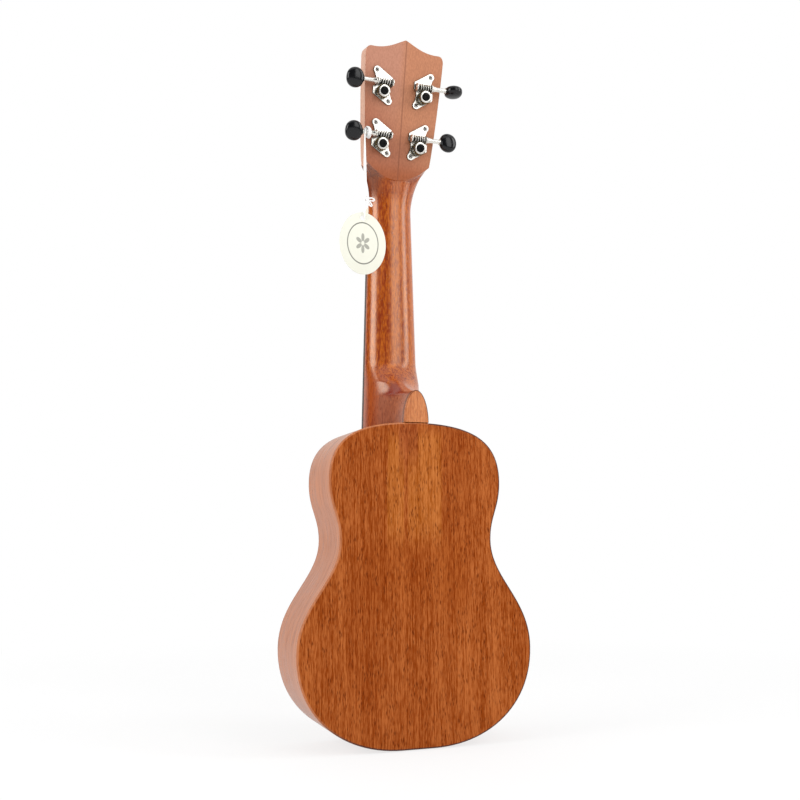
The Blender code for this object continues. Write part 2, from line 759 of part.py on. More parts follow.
def on_head(a, b, level):
    return HEAD_FRAME @ Vector((a, b, level))


def add_neck(wood):
    body = prism(whole_outline(-GLUE), -BODY_DEPTH, BODY_DEPTH, from_outline)
    shaft = combined(loft(heel_rings() + shaft_rings() + flare_rings()), "DIFFERENCE", [body])
    spare = HEAD_THICKNESS / 2
    head = prism(head_outline(), HEAD_FRONT - spare, spare, on_head)
    tenon = box(
        (-TENON_WIDTH / 2, PLATE_THICKNESS + GLUE - HALF_DEPTH, BODY_LENGTH - TENON_LENGTH),
        (TENON_WIDTH / 2, INNER_FACE - GLUE - HEEL_CAP_THICKNESS, BODY_LENGTH + TENON_ROOT),
    )
    joined = combined(shaft, "UNION", [head, tenon])
    far = HEAD_LENGTH + HEAD_TOP_WIDTH
    reach = HEAD_TOP_WIDTH
    shelf = (NUT_SHELF_END - NUT_AT + HEAD_FRONT * math.sin(HEAD_TILT)) / math.cos(HEAD_TILT)
    behind = moved(box((-reach, HEAD_FLARE_AT / 2, 0), (reach, far, reach)), HEAD_FRAME)
    before = moved(box((-reach, shelf, HEAD_FRONT - reach), (reach, far, HEAD_FRONT)), HEAD_FRAME)
    drills = []
    for x, y in post_places().values():
        drill = turned(((BUSHING_RADIUS + FIT, HEAD_FRONT * 2), (BUSHING_RADIUS + FIT, -HEAD_FRONT)))
        drills.append(moved(drill, HEAD_FRAME @ Matrix.Translation((x, y, 0))))
    add("neck", combined(joined, "DIFFERENCE", [behind, before, *drills]), wood)


def add_heel_cap(wood):
    steps = 8
    turns = [math.pi / 2 * k / steps for k in range(steps + 1)]
    levels = [BODY_LENGTH + HEEL_CAP_LENGTH * math.sin(turn) for turn in turns]
    foot = BODY_LENGTH + GLUE
    right = [(heel_half_width(z), max(z, foot)) for z in levels]
    left = [(-x, z) for x, z in reversed(right)]
    cap = prism(right + left, HALF_DEPTH - HEEL_CAP_THICKNESS, HALF_DEPTH, from_outline)
    add("heel_cap", cap, wood)


def fret_place(number):
    return NUT_AT - SCALE_LENGTH * (1 - 2 ** (-number / NOTES_PER_OCTAVE))


def add_fretboard(wood):
    foot = BODY_LENGTH - FRETBOARD_OVERHANG
    outline = [(board_half_width(NUT_AT), NUT_AT), (-board_half_width(NUT_AT), NUT_AT),
               (-board_half_width(foot), foot), (board_half_width(foot), foot)]
    board = prism(outline, BOARD_FRONT, BOARD_BACK, from_outline)
    slots = []
    depth = TANG_DEPTH + FIT
    for number in range(1, FRET_COUNT + 1):
        z = fret_place(number)
        play = TANG_WIDTH / 2 + FIT / 2
        reach = FRETBOARD_BODY_WIDTH
        slots.append(box((-reach, BOARD_FRONT - depth, z - play), (reach, BOARD_FRONT + depth, z + play)))
    add("fretboard", combined(board, "DIFFERENCE", slots), wood)


def add_frets(metal):
    crown = []
    for k in range(CROWN_STEPS + 1):
        turn = math.pi * k / CROWN_STEPS
        crown.append((FRET_WIDTH / 2 * math.cos(turn), FRET_SEAT - FRET_HEIGHT * math.sin(turn)))
    tang = [(-TANG_WIDTH / 2, FRET_SEAT), (-TANG_WIDTH / 2, FRET_SEAT + TANG_DEPTH),
            (TANG_WIDTH / 2, FRET_SEAT + TANG_DEPTH), (TANG_WIDTH / 2, FRET_SEAT)]
    for number in range(1, FRET_COUNT + 1):
        z = fret_place(number)
        half = board_half_width(z) - FRET_END_INSET
        fret = prism(crown + tang, -half, half, lambda up, y, x: (x, y, up))
        add(f"fret_{number:02d}", fret, metal, place=(0, 0, z))


# Strings

def string_share(name):
    return STRING_NAMES.index(name) / (len(STRING_NAMES) - 1) - 0.5


def nut_point(name):
    y = FRET_TOP - STRING_NUT_CLEARANCE - STRING_DIAMETERS[name] / 2
    return Vector((string_share(name) * STRING_NUT_SPREAD, y, NUT_AT))


def saddle_point(name):
    nut = nut_point(name)
    twelfth = FRET_TOP - ACTION_AT_TWELFTH - STRING_DIAMETERS[name] / 2
    y = mix(nut.y, twelfth, (NUT_AT - SADDLE_AT) / (NUT_AT - fret_place(NOTES_PER_OCTAVE)))
    return Vector((string_share(name) * STRING_SADDLE_SPREAD, y, SADDLE_AT))


def post_places():
    return {
        "g": (LOWER_POST_SPREAD / 2, LOWER_POST_AT),
        "c": (UPPER_POST_SPREAD / 2, UPPER_POST_AT),
        "e": (-UPPER_POST_SPREAD / 2, UPPER_POST_AT),
        "a": (-LOWER_POST_SPREAD / 2, LOWER_POST_AT),
    }


# The turns on the post, laid from its inner side down towards the headstock
def winding_path(name):
    x, y = post_places()[name]
    side = 1 if x > 0 else -1
    diameter = STRING_DIAMETERS[name]
    radius = POST_WAIST_RADIUS + FIT + diameter / 2
    pitch = diameter + WINDING_GAP
    first = HEAD_FRONT - POST_RISE / 2 - pitch * WINDING_TURNS / 2
    path = []
    count = round(LOOP_POINTS * WINDING_TURNS)
    for k in range(count + 1):
        turns = k / LOOP_POINTS
        angle = math.pi - 2 * math.pi * turns
        spot = (x + side * radius * math.cos(angle), y + radius * math.sin(angle), first + pitch * turns)
        path.append(HEAD_FRAME @ Vector(spot))
    return path


def add_strings(nylon):
    for name in STRING_NAMES:
        diameter = STRING_DIAMETERS[name]
        winding = winding_path(name)
        gap = least_gap(winding, diameter)
        print(f"string {name}: least gap of its winding {gap / MILLIMETRE:.2f} mm")
        saddle = saddle_point(name)
        nut = nut_point(name)
        over_nut = nut + Vector((0, 0, NUT_THICKNESS + GLUE))
        behind = saddle + Vector((0, 0, -SADDLE_THICKNESS / 2))
        end = Vector((saddle.x, -HALF_DEPTH - GLUE - STRING_END_HEIGHT, bridge_rear() + diameter))
        path = [end, behind, saddle, nut, over_nut, *winding]
        tube(f"string_{name}", path, diameter, nylon, 1)


# Bridge, saddle and nut

def bridge_rear():
    return SADDLE_AT + BRIDGE_FRONT - BRIDGE_LENGTH


def add_bridge(wood, bone):
    seat = -HALF_DEPTH - GLUE
    half = BRIDGE_WIDTH / 2
    block = BRIDGE_BLOCK_WIDTH / 2
    right = [(half, 0), (half, BRIDGE_WING_EDGE), (block + BRIDGE_WING_SLOPE, BRIDGE_WING_HEIGHT),
             (block, BRIDGE_HEIGHT)]
    outline = right + [(-x, up) for x, up in reversed(right)]
    body = prism(outline, bridge_rear(), SADDLE_AT + BRIDGE_FRONT, lambda x, up, z: (x, seat - up, z))
    floor = seat - BRIDGE_HEIGHT + SADDLE_SLOT_DEPTH
    play = SADDLE_THICKNESS / 2 + FIT
    reach = SADDLE_WIDTH / 2 + FIT
    front = seat - 2 * BRIDGE_HEIGHT
    cuts = [box((-reach, front, SADDLE_AT - play), (reach, floor, SADDLE_AT + play))]
    for name in STRING_NAMES:
        x = saddle_point(name).x
        slot = STRING_DIAMETERS[name] / 2 + STRING_SLOT_PLAY
        cuts.append(box((x - slot, front, bridge_rear() - slot),
                        (x + slot, seat - STRING_END_HEIGHT + slot, SADDLE_AT)))
    add("bridge", combined(body, "DIFFERENCE", cuts), wood)
    edge = SADDLE_WIDTH / 2
    thick = SADDLE_THICKNESS / 2
    crest = min(saddle_point(name).y + STRING_DIAMETERS[name] / 2 for name in STRING_NAMES)
    thickest = max(STRING_DIAMETERS.values())
    top = crest + thickest + FIT
    profile = ((-thick, floor - GLUE), (-thick, top + thick / 2), (-thick / 2, top), (thick / 2, top),
               (thick, top + thick / 2), (thick, floor - GLUE))
    add("saddle", prism(profile, -edge, edge, lambda up, y, x: (x, y, SADDLE_AT + up)), bone)


def add_nut(bone):
    half = FRETBOARD_NUT_WIDTH / 2
    low = NUT_AT + GLUE
    high = low + NUT_THICKNESS
    top = nut_point("c").y - NUT_RISE
    middle = (low + high) / 2
    profile = ((low, BOARD_BACK), (low, top), (middle, top), (high, top + NUT_RISE), (high, BOARD_BACK))
    nut = prism(profile, -half, half, lambda z, y, x: (x, y, z))
    cuts = []
    for name in STRING_NAMES:
        spot = nut_point(name)
        slot = STRING_DIAMETERS[name] / 2 + FIT
        cuts.append(box((spot.x - slot, top - NUT_RISE, low - FIT), (spot.x + slot, spot.y + slot, high + FIT)))
    add("nut", combined(nut, "DIFFERENCE", cuts), bone)


# Tuners: local x points outward from the headstock, y up it, z out of its back, from the post's axis

def plate_outline():
    lobe = Vector(PLATE_SCREW_REACH)
    centre = Vector(PLATE_CENTRE)
    corner = Vector((-PLATE_CORNER_REACH[0], PLATE_CORNER_REACH[1]))
    steps = 6
    notch = OUTER_EAR + EAR_THICKNESS - centre.x
    half = []
    for k in range(steps + 1):
        turn = mix(*PLATE_LOBE_TURNS, k / steps)
        half.append(lobe + PLATE_LOBE_RADIUS * Vector((math.cos(turn), math.sin(turn))))
    half.append(corner)
    half.append(Vector((corner.x, PLATE_NOTCH_FOOT + PLATE_NOTCH_SLOPE)))
    half.append(Vector((-notch, PLATE_NOTCH_FOOT)))
    half.append(Vector((-notch, -PLATE_NOTCH_TOP)))
    return [tuple(centre + point) for point in half] + [tuple(centre - point) for point in half]


# The plate with its two ears and the heads of the two screws that hold it
def tuner_plate():
    sheet = prism(plate_outline(), GLUE, TUNER_PLATE_TOP, lambda a, b, level: (a, b, level))
    middle = (GLUE + TUNER_PLATE_TOP) / 2
    ear = [(WORM_AXIS - EAR_HALF_WIDTH, middle)]
    steps = 6
    for k in range(steps + 1):
        turn = math.pi * (1 - k / steps)
        ear.append((WORM_AXIS + EAR_HALF_WIDTH * math.cos(turn), WORM_HEIGHT + EAR_HALF_WIDTH * math.sin(turn)))
    ear.append((WORM_AXIS + EAR_HALF_WIDTH, middle))
    ears = [prism(ear, low, low + EAR_THICKNESS, lambda y, z, x: (x, y, z)) for low in (INNER_EAR, OUTER_EAR)]
    spare = TUNER_PLATE_THICKNESS
    heads = []
    for side in (-1, 1):
        spot = Vector(PLATE_CENTRE) + side * Vector(PLATE_SCREW_REACH)
        head = turned((
            (PLATE_SCREW_RADIUS, middle), (PLATE_SCREW_RADIUS, TUNER_PLATE_TOP + PLATE_SCREW_HEIGHT / 2),
            (PLATE_SCREW_FACE_RADIUS, TUNER_PLATE_TOP + PLATE_SCREW_HEIGHT),
        ), steps=SMALL_STEPS)
        heads.append(moved(head, Matrix.Translation((spot.x, spot.y, 0))))
    holes = [turned(((POST_RADIUS + FIT, -spare), (POST_RADIUS + FIT, TUNER_PLATE_TOP + spare)))]
    bearing = (INNER_EAR - spare, OUTER_EAR + EAR_THICKNESS + spare, (WORM_AXIS, WORM_HEIGHT))
    holes.append(cylinder_along_x(SHAFT_RADIUS + FIT, *bearing))
    return combined(combined(sheet, "UNION", ears + heads), "DIFFERENCE", holes)


# The thread at a turn and angle: the four points of its profile as (x, radius)
def thread_points(turn, angle):
    along = turn + angle
    centre = along * WORM_LEAD
    fade = min(along + THREAD_TURNS_IN, THREAD_TURNS_OUT - along) / THREAD_RUN_OUT
    tip = mix(WORM_ROOT_RADIUS, WORM_TIP_RADIUS, min(1.0, max(0.0, fade)))
    return ((centre - THREAD_ROOT_WIDTH / 2, WORM_ROOT_RADIUS), (centre - THREAD_TIP_WIDTH / 2, tip),
            (centre + THREAD_TIP_WIDTH / 2, tip), (centre + THREAD_ROOT_WIDTH / 2, WORM_ROOT_RADIUS))


# The worm, its journals and the shaft out to the button, with the axis on the local x axis
def worm_mesh():
    inner_end = INNER_EAR - FIT
    shoulder = OUTER_EAR + EAR_THICKNESS + FIT
    shaft_end = BUTTON_AT + BUTTON_BORE_DEPTH - FIT
    first = ((inner_end, SHAFT_RADIUS), (THREAD_START, SHAFT_RADIUS), (THREAD_START, WORM_ROOT_RADIUS))
    last = ((THREAD_END, WORM_ROOT_RADIUS), (THREAD_END, SHAFT_RADIUS), (shoulder, SHAFT_RADIUS),
            (shoulder, COLLAR_RADIUS), (shoulder + COLLAR_LENGTH, COLLAR_RADIUS),
            (shoulder + COLLAR_LENGTH, SHAFT_RADIUS), (shaft_end, SHAFT_RADIUS))
    shape = bmesh.new()

    def corners(profile, angle):
        turn = math.pi + 2 * math.pi * angle
        return [shape.verts.new((x, r * math.cos(turn), r * math.sin(turn))) for x, r in profile]

    lines = []
    for i in range(TURN_STEPS):
        angle = i / TURN_STEPS
        turns = range(-THREAD_TURNS_IN, THREAD_TURNS_OUT + (i == 0))
        threads = [corners(thread_points(turn, angle), angle) for turn in turns]
        lines.append((corners(first, angle), threads, corners(last, angle)))

    def quads(one, two):
        for a, b, c, d in zip(one, one[1:], two[1:], two):
            shape.faces.new((a, b, c, d))

    for i in range(TURN_STEPS):
        start, threads, end = lines[i]
        next_start, next_threads, next_end = lines[(i + 1) % TURN_STEPS]
        wrapped = i == TURN_STEPS - 1
        lead_in = []
        if wrapped:
            lead_in, next_threads = next_threads[0], next_threads[1:]
        lead_out = []
        if i == 0:
            threads, lead_out = threads[:-1], threads[-1]
        quads(start, next_start)
        shape.faces.new((start[-1], threads[0][0], next_threads[0][0], *reversed(lead_in), next_start[-1]))
        for one, two in zip(threads, next_threads):
            quads(one, two)
        for one, after, two, two_after in zip(threads, threads[1:], next_threads, next_threads[1:]):
            shape.faces.new((one[-1], after[0], two_after[0], two[-1]))
        shape.faces.new((threads[-1][-1], *lead_out, end[0], next_end[0], next_threads[-1][-1]))
        quads(end, next_end)
    shape.faces.new([line[0][0] for line in lines])
    shape.faces.new([line[2][-1] for line in lines])
    return finish_mesh(shape)


# The button: an oval pad on a short neck, bored for the shaft
def button_mesh():
    def ring(x, wide, thick, power):
        points = []
        for a, b in circle(1.0, BUTTON_STEPS):
            grow = (abs(a) ** power + abs(b) ** power) ** (-1 / power)
            points.append((x, a * grow * wide, b * grow * thick))
        return points

    bore = SHAFT_RADIUS + FIT
    rings = [ring(BUTTON_AT + BUTTON_BORE_DEPTH, bore, bore, 2), ring(BUTTON_AT, bore, bore, 2),
             ring(BUTTON_AT, BUTTON_NECK_RADIUS, BUTTON_NECK_RADIUS, 2)]
    steps = 9
    for k in range(1, steps + 1):
        turn = math.pi * (k / (steps + 1)) ** BUTTON_LEAN
        along = (1 - math.cos(turn)) / 2
        wide = BUTTON_WIDTH / 2 * math.sin(turn) ** BUTTON_SWELL
        thick = BUTTON_THICKNESS / 2 * math.sin(turn) ** BUTTON_EDGE_SWELL
        rings.append(ring(BUTTON_AT + BUTTON_LENGTH * along, wide, thick, BUTTON_SQUARENESS))
    return loft(rings)


def gear_ring(height):
    ring = []
    twist = TOOTH_TWIST * (height - WORM_HEIGHT)
    pitch = 2 * math.pi / GEAR_TEETH
    root = TOOTH_ROOT_WIDTH / 2 / GEAR_ROOT_RADIUS
    tip = TOOTH_TIP_WIDTH / 2 / GEAR_TIP_RADIUS
    for tooth in range(GEAR_TEETH):
        middle = math.pi / 2 + twist + pitch * (tooth + 0.5)
        for radius, turn in ((GEAR_ROOT_RADIUS, -root), (GEAR_TIP_RADIUS, -tip),
                             (GEAR_TIP_RADIUS, tip), (GEAR_ROOT_RADIUS, root)):
            ring.append((radius * math.cos(middle + turn), radius * math.sin(middle + turn), height))
    return ring


# The gear and the post that it turns, in one piece, bored for the gear's screw
def gear_post_mesh():
    gear = loft([gear_ring(GEAR_LOW), gear_ring(GEAR_HIGH)])
    top = HEAD_FRONT - POST_RISE
    waist = HEAD_FRONT - BUSHING_FLANGE - GLUE - POST_LIP / 2
    post = turned((
        (POST_RADIUS - POST_LIP / 4, top), (POST_RADIUS, top + POST_LIP / 4), (POST_RADIUS, top + POST_LIP),
        (POST_WAIST_RADIUS, top + 1.5 * POST_LIP), (POST_WAIST_RADIUS, waist),
        (POST_RADIUS, waist + POST_LIP / 2), (POST_RADIUS, TUNER_PLATE_TOP + FIT),
        (POST_COLLAR_RADIUS, TUNER_PLATE_TOP + FIT), (POST_COLLAR_RADIUS, WORM_HEIGHT),
    ))
    rim = turned(((POST_COLLAR_RADIUS, WORM_HEIGHT), (POST_COLLAR_RADIUS, GEAR_HIGH),
                  (GEAR_RIM_RADIUS, GEAR_HIGH), (GEAR_RIM_RADIUS, GEAR_RIM_TOP)))
    bore = SCREW_SHANK_RADIUS + FIT
    floor = GEAR_RIM_TOP - SCREW_SHANK_LENGTH - FIT
    drill = turned(((bore, floor), (bore, GEAR_RIM_TOP + FIT)), steps=SMALL_STEPS)
    eye = cylinder_along_x(POST_EYE_RADIUS, -2 * POST_RADIUS, 2 * POST_RADIUS, (0, top + POST_EYE_DROP))
    return combined(combined(gear, "UNION", [post, rim]), "DIFFERENCE", [drill, eye])


def gear_screw_mesh():
    seat = GEAR_RIM_TOP + GLUE
    screw = turned((
        (SCREW_SHANK_RADIUS, GEAR_RIM_TOP - SCREW_SHANK_LENGTH), (SCREW_SHANK_RADIUS, seat),
        (SCREW_HEAD_RADIUS, seat), (SCREW_HEAD_RADIUS, seat + SCREW_HEAD_HEIGHT / 2),
        (SCREW_FACE_RADIUS, seat + SCREW_HEAD_HEIGHT),
    ))
    top = seat + SCREW_HEAD_HEIGHT
    reach = 2 * SCREW_HEAD_RADIUS
    half = SCREW_SLOT_WIDTH / 2
    slot = box((-reach, -half, top - SCREW_SLOT_DEPTH), (reach, half, top + FIT))
    return combined(screw, "DIFFERENCE", [slot])


def bushing_mesh():
    bore = POST_RADIUS + FIT
    face = HEAD_FRONT - GLUE
    return turned((
        (bore, HEAD_FRONT + BUSHING_DEPTH), (bore, face - BUSHING_FLANGE),
        (BUSHING_FACE_RADIUS, face - BUSHING_FLANGE), (BUSHING_FLANGE_RADIUS, face - BUSHING_FLANGE / 2),
        (BUSHING_FLANGE_RADIUS, face), (BUSHING_RADIUS, face), (BUSHING_RADIUS, HEAD_FRONT + BUSHING_DEPTH),
    ), joined=True)


def add_tuners(head, looks):
    mirror = Matrix.Scale(-1, 4, (1, 0, 0))
    worm_place = Vector((0, WORM_AXIS, WORM_HEIGHT))
    makers = (
        ("plate", tuner_plate, looks["nickel"], False),
        ("gear_post", gear_post_mesh, looks["gear"], False),
        ("gear_screw", gear_screw_mesh, looks["black_screw"], False),
        ("bushing", bushing_mesh, looks["nickel"], False),
        ("worm", worm_mesh, looks["nickel"], True),
        ("button", button_mesh, looks["button"], True),
    )
    posts = {}
    for name, (x, y) in post_places().items():
        posts[name] = empty(f"tuner_{name}_axis", Matrix.Translation((x, y, 0)), head)
    for piece, make, look, on_worm in makers:
        right = make()
        left = moved(right.copy(), mirror)
        for name, post in posts.items():
            mesh = right if post.location.x > 0 else left
            place = worm_place if on_worm else (0, 0, 0)
            obj = add(f"tuner_{name}_{piece}", mesh.copy(), look, post, place)
            if piece == "button":
                obj.rotation_euler.x = math.radians(BUTTON_TURNS[name])


# Hang tag

def tag_shaft_point():
    x, y = post_places()["a"]
    edge = -x + BUTTON_AT - CORD_BESIDE_BUTTON
    point = HEAD_FRAME @ Vector((x, y + WORM_AXIS, WORM_HEIGHT))
    return Vector((edge, point.y, point.z))


def add_tag(paper, cord_look):
    shaft = tag_shaft_point()
    hook = empty("tag_hook", Matrix.Translation(shaft))
    outline = [(TAG_WIDTH / 2 * a, TAG_HEIGHT / 2 * b) for a, b in circle(1.0, HOLE_SIDES)]
    centre = Vector((TAG_SIDE_SHIFT, 0, -TAG_DROP - TAG_HEIGHT / 2))
    half = TAG_THICKNESS / 2
    card = prism([(centre.x + a, centre.z + b) for a, b in outline], -half, half, from_outline)
    eye_at = (TAG_SIDE_SHIFT, -TAG_DROP - TAG_EYE_INSET)
    eye = [(eye_at[0] + a, eye_at[1] + b) for a, b in circle(TAG_EYE_RADIUS, ROUND_STEPS)]
    punch = prism(eye, -TAG_THICKNESS, TAG_THICKNESS, from_outline)
    add("hang_tag", combined(card, "DIFFERENCE", [punch]), paper, hook)
    route = [MILLIMETRE * Vector(point) for point in CORD_ROUTE]
    path = smooth_path(route, CORD_PITCH * CORD_DIAMETER)
    tube("tag_cord", path, CORD_DIAMETER, cord_look, 2, hook)


def main():
    clear_scene()
    body_wood = material("sapele", (0.36, 0.13, 0.045), 0.32)
    inner_wood = material("spruce", (0.62, 0.42, 0.22), 0.6)
    neck_wood = material("neck wood", (0.40, 0.14, 0.045), 0.3)
    dark_wood = material("dark rosewood", (0.045, 0.022, 0.014), 0.45)
    bone = material("bone", (0.80, 0.74, 0.62), 0.35)
    fret_metal = material("fret wire", (0.70, 0.68, 0.64), 0.25, 1.0)
    nylon = material("nylon string", (0.82, 0.80, 0.75), 0.25)
    looks = {
        "nickel": material("nickel", (0.66, 0.64, 0.60), 0.2, 1.0),
        "gear": material("gear metal", (0.72, 0.69, 0.62), 0.25, 1.0),
        "black_screw": material("black screw", (0.02, 0.02, 0.02), 0.35, 0.6),
        "button": material("black button", (0.008, 0.008, 0.009), 0.12),
    }
    add_plates(body_wood)
    add_ribs(body_wood)
    add("top_lining", lining_mesh(-1, 0.0), inner_wood)
    add("back_lining", lining_mesh(1, 0.0), inner_wood)
    add_blocks(inner_wood)
    add_braces(inner_wood)
    add_neck(neck_wood)
    add_heel_cap(body_wood)
    add_fretboard(dark_wood)
    add_frets(fret_metal)
    add_nut(bone)
    add_bridge(dark_wood, bone)
    add_strings(nylon)
    head = empty("headstock_frame", HEAD_FRAME)
    add_tuners(head, looks)
    add_tag(material("tag card", (0.86, 0.82, 0.70), 0.7), material("tag cord", (0.9, 0.9, 0.88), 0.8))
    bpy.context.view_layer.update()


main()
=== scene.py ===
import math
import bmesh
import bpy
from mathutils import Matrix, Vector


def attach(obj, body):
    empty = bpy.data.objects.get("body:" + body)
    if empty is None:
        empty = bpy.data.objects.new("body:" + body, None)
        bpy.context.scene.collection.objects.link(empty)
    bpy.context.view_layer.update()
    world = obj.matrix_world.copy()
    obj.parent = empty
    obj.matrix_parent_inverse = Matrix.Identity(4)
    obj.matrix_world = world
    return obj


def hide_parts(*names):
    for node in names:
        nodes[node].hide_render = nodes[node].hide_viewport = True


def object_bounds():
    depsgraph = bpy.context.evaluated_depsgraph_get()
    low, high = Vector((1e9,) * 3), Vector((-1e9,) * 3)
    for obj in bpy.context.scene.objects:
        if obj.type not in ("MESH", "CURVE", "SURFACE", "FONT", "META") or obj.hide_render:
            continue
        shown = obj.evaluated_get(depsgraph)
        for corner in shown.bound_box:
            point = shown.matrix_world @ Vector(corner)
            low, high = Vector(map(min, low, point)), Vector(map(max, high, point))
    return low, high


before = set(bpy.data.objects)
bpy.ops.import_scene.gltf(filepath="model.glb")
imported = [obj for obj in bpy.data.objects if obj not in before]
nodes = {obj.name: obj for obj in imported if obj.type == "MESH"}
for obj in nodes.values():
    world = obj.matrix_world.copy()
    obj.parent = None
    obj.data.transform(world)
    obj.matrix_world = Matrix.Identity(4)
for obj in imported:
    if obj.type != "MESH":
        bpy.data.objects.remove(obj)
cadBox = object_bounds()
mm = 0.001
flush = 1e-5                            # levels closer than this count as one
facing = 0.9999                         # a normal this close to an axis is along it
rounded, eased = 3, 2                   # rows of faces in a bevel
print("frame loaded:", len(nodes), "nodes")


# Measures and curves

def mix(one, two, share):
    return one + (two - one) * share


def clamped(share):
    return min(1.0, max(0.0, share))


def bezierAt(stretch, t):
    p0, p1, p2, p3 = (Vector(point) for point in stretch)
    s = 1 - t
    return s * s * s * p0 + 3 * s * s * t * p1 + 3 * s * t * t * p2 + t * t * t * p3


def slopeAt(stretch, t):
    p0, p1, p2, p3 = (Vector(point) for point in stretch)
    s = 1 - t
    return 3 * s * s * (p1 - p0) + 6 * s * t * (p2 - p1) + 3 * t * t * (p3 - p2)


def smoothKnots(points):                # each point between its left and right handle
    ends = [2 * points[0] - points[1], *points, 2 * points[-1] - points[-2]]
    return [(at - (after - before) / 6, at, at + (after - before) / 6)
            for before, at, after in zip(ends, points, ends[2:])]


def curveLength(points, steps=24):
    knots = smoothKnots(points)
    total = 0.0
    for (_, start, leave), (arrive, end, _) in zip(knots, knots[1:]):
        fine = [bezierAt((start, leave, arrive, end), k / steps) for k in range(steps + 1)]
        total += sum((b - a).length for a, b in zip(fine, fine[1:]))
    return total


def arcPoints(wide, high, start, end, steps):       # part of an ellipse about the origin, in degrees
    turns = [math.radians(mix(start, end, k / steps)) for k in range(steps + 1)]
    return [Vector((wide * math.cos(turn), high * math.sin(turn))) for turn in turns]


def mirrored(points):
    return [Vector((-spot.x, spot.y)) for spot in reversed(points)]


# Hands: small helpers that do what a user does with the mouse

def deselectAll():
    if bpy.context.mode != "OBJECT":
        bpy.ops.object.mode_set(mode="OBJECT")
    bpy.ops.object.select_all(action="DESELECT")


def focus(piece):
    deselectAll()
    piece.select_set(True)
    bpy.context.view_layer.objects.active = piece


def editing(piece, everything=False):
    focus(piece)
    bpy.ops.object.mode_set(mode="EDIT")
    bpy.ops.mesh.select_mode(type="VERT")
    bpy.ops.mesh.select_all(action="SELECT" if everything else "DESELECT")
    return bmesh.from_edit_mesh(piece.data)


def leaveEdit():
    bpy.ops.object.mode_set(mode="OBJECT")


def isSharp(edge, least=0.6):
    return len(edge.link_faces) == 2 and edge.calc_face_angle(0) > least


def sharpWhere(test):                   # sharp edges whose two ends pass a test
    return lambda edge: isSharp(edge) and all(test(end.co) for end in edge.verts)


def softenEdges(piece, width, segments, test):
    shape = editing(piece)
    bpy.ops.mesh.select_mode(type="EDGE")
    picked = [edge for edge in shape.edges if test(edge)]
    for edge in picked:
        edge.select_set(True)
    bmesh.update_edit_mesh(piece.data)
    if picked:
        bpy.ops.mesh.bevel(offset=width, offset_type="OFFSET", segments=segments, profile=0.5,
                           affect="EDGES", clamp_overlap=True)
    leaveEdit()


def outwards(piece):
    editing(piece, everything=True)
    bpy.ops.mesh.remove_doubles(threshold=1e-7)
    bpy.ops.mesh.normals_make_consistent(inside=False)
    leaveEdit()
    return piece


def apply(piece, kind, **settings):
    focus(piece)
    step = piece.modifiers.new(kind.title(), kind)
    for key, value in settings.items():
        setattr(step, key, value)
    bpy.ops.object.modifier_apply(modifier=step.name)


def combine(piece, tool, operation="DIFFERENCE"):
    apply(piece, "BOOLEAN", object=tool, operation=operation, solver="EXACT")
    bpy.data.objects.remove(tool, do_unlink=True)


def shade(piece, angle=35):
    focus(piece)
    bpy.ops.object.shade_smooth_by_angle(angle=math.radians(angle))
    return piece


def crisp(piece, isFlat):               # a flat face keeps its own normals up to its rim
    flat, other = set(), set()
    for face in piece.data.polygons:
        (flat if isFlat(face) else other).update(face.edge_keys)
    for edge in piece.data.edges:
        if edge.key in flat and edge.key in other:
            edge.use_edge_sharp = True
    return piece


def settle(piece, matrix):              # moves the mesh, so that the object stays at the origin
    piece.data.transform(matrix)
    if matrix.is_negative:
        piece.data.flip_normals()
    piece.data.update()
    return piece


def named(name):
    piece = bpy.context.object
    piece.name = piece.data.name = name
    return piece


def placed(name, data):
    piece = bpy.data.objects.new(name, data)
    data.name = name
    bpy.context.scene.collection.objects.link(piece)
    return piece


def twin(piece, name, matrix):
    return settle(placed(name, piece.data.copy()), matrix)


def meshPiece(name, points, edges=(), faces=()):
    mesh = bpy.data.meshes.new(name)
    mesh.from_pydata(points, edges, faces)
    return placed(name, mesh)


def joined(pieces):
    deselectAll()
    for piece in pieces:
        piece.select_set(True)
    bpy.context.view_layer.objects.active = pieces[0]
    bpy.ops.object.join()
    return pieces[0]


def rod(radius, length, matrix, sides):
    deselectAll()
    bpy.ops.mesh.primitive_cylinder_add(vertices=sides, radius=radius, depth=length)
    return settle(bpy.context.object, matrix)


def cubeFrom(low, high, matrix=Matrix.Identity(4)):
    deselectAll()
    bpy.ops.mesh.primitive_cube_add(size=1)
    size = [b - a for a, b in zip(low, high)]
    middle = [(a + b) / 2 for a, b in zip(low, high)]
    return settle(bpy.context.object, matrix @ Matrix.Translation(middle) @ Matrix.Diagonal((*size, 1)))


def sheetCutTo(name, points, thickness):            # an outline in XY, from level 0 up to its thickness
    deselectAll()
    bpy.ops.mesh.primitive_circle_add(vertices=len(points), fill_type="NGON")
    piece = named(name)
    for vertex, (x, y) in zip(piece.data.vertices, points):
        vertex.co = (x, y, 0)
    editing(piece, everything=True)
    bpy.ops.mesh.extrude_region_move(TRANSFORM_OT_translate={"value": (0, 0, thickness)})
    leaveEdit()
    return outwards(piece)


standUp = Matrix.Rotation(math.radians(90), 4, "X")     # a sheet in XY stands in XZ, its thickness towards -Y


def above(level, spots):                # (radius, rise) pairs in mm, as radius and height
    return [(radius * mm, level + rise * mm) for radius, rise in spots]


def turnedPiece(name, profile, steps):              # a round piece about Z from (radius, height) pairs
    piece = meshPiece(name, [(r, 0, h) for r, h in profile], [(i, i + 1) for i in range(len(profile) - 1)])
    editing(piece, everything=True)
    bpy.ops.mesh.spin(steps=steps, angle=2 * math.pi, center=(0, 0, 0), axis=(0, 0, 1))
    leaveEdit()
    return outwards(piece)


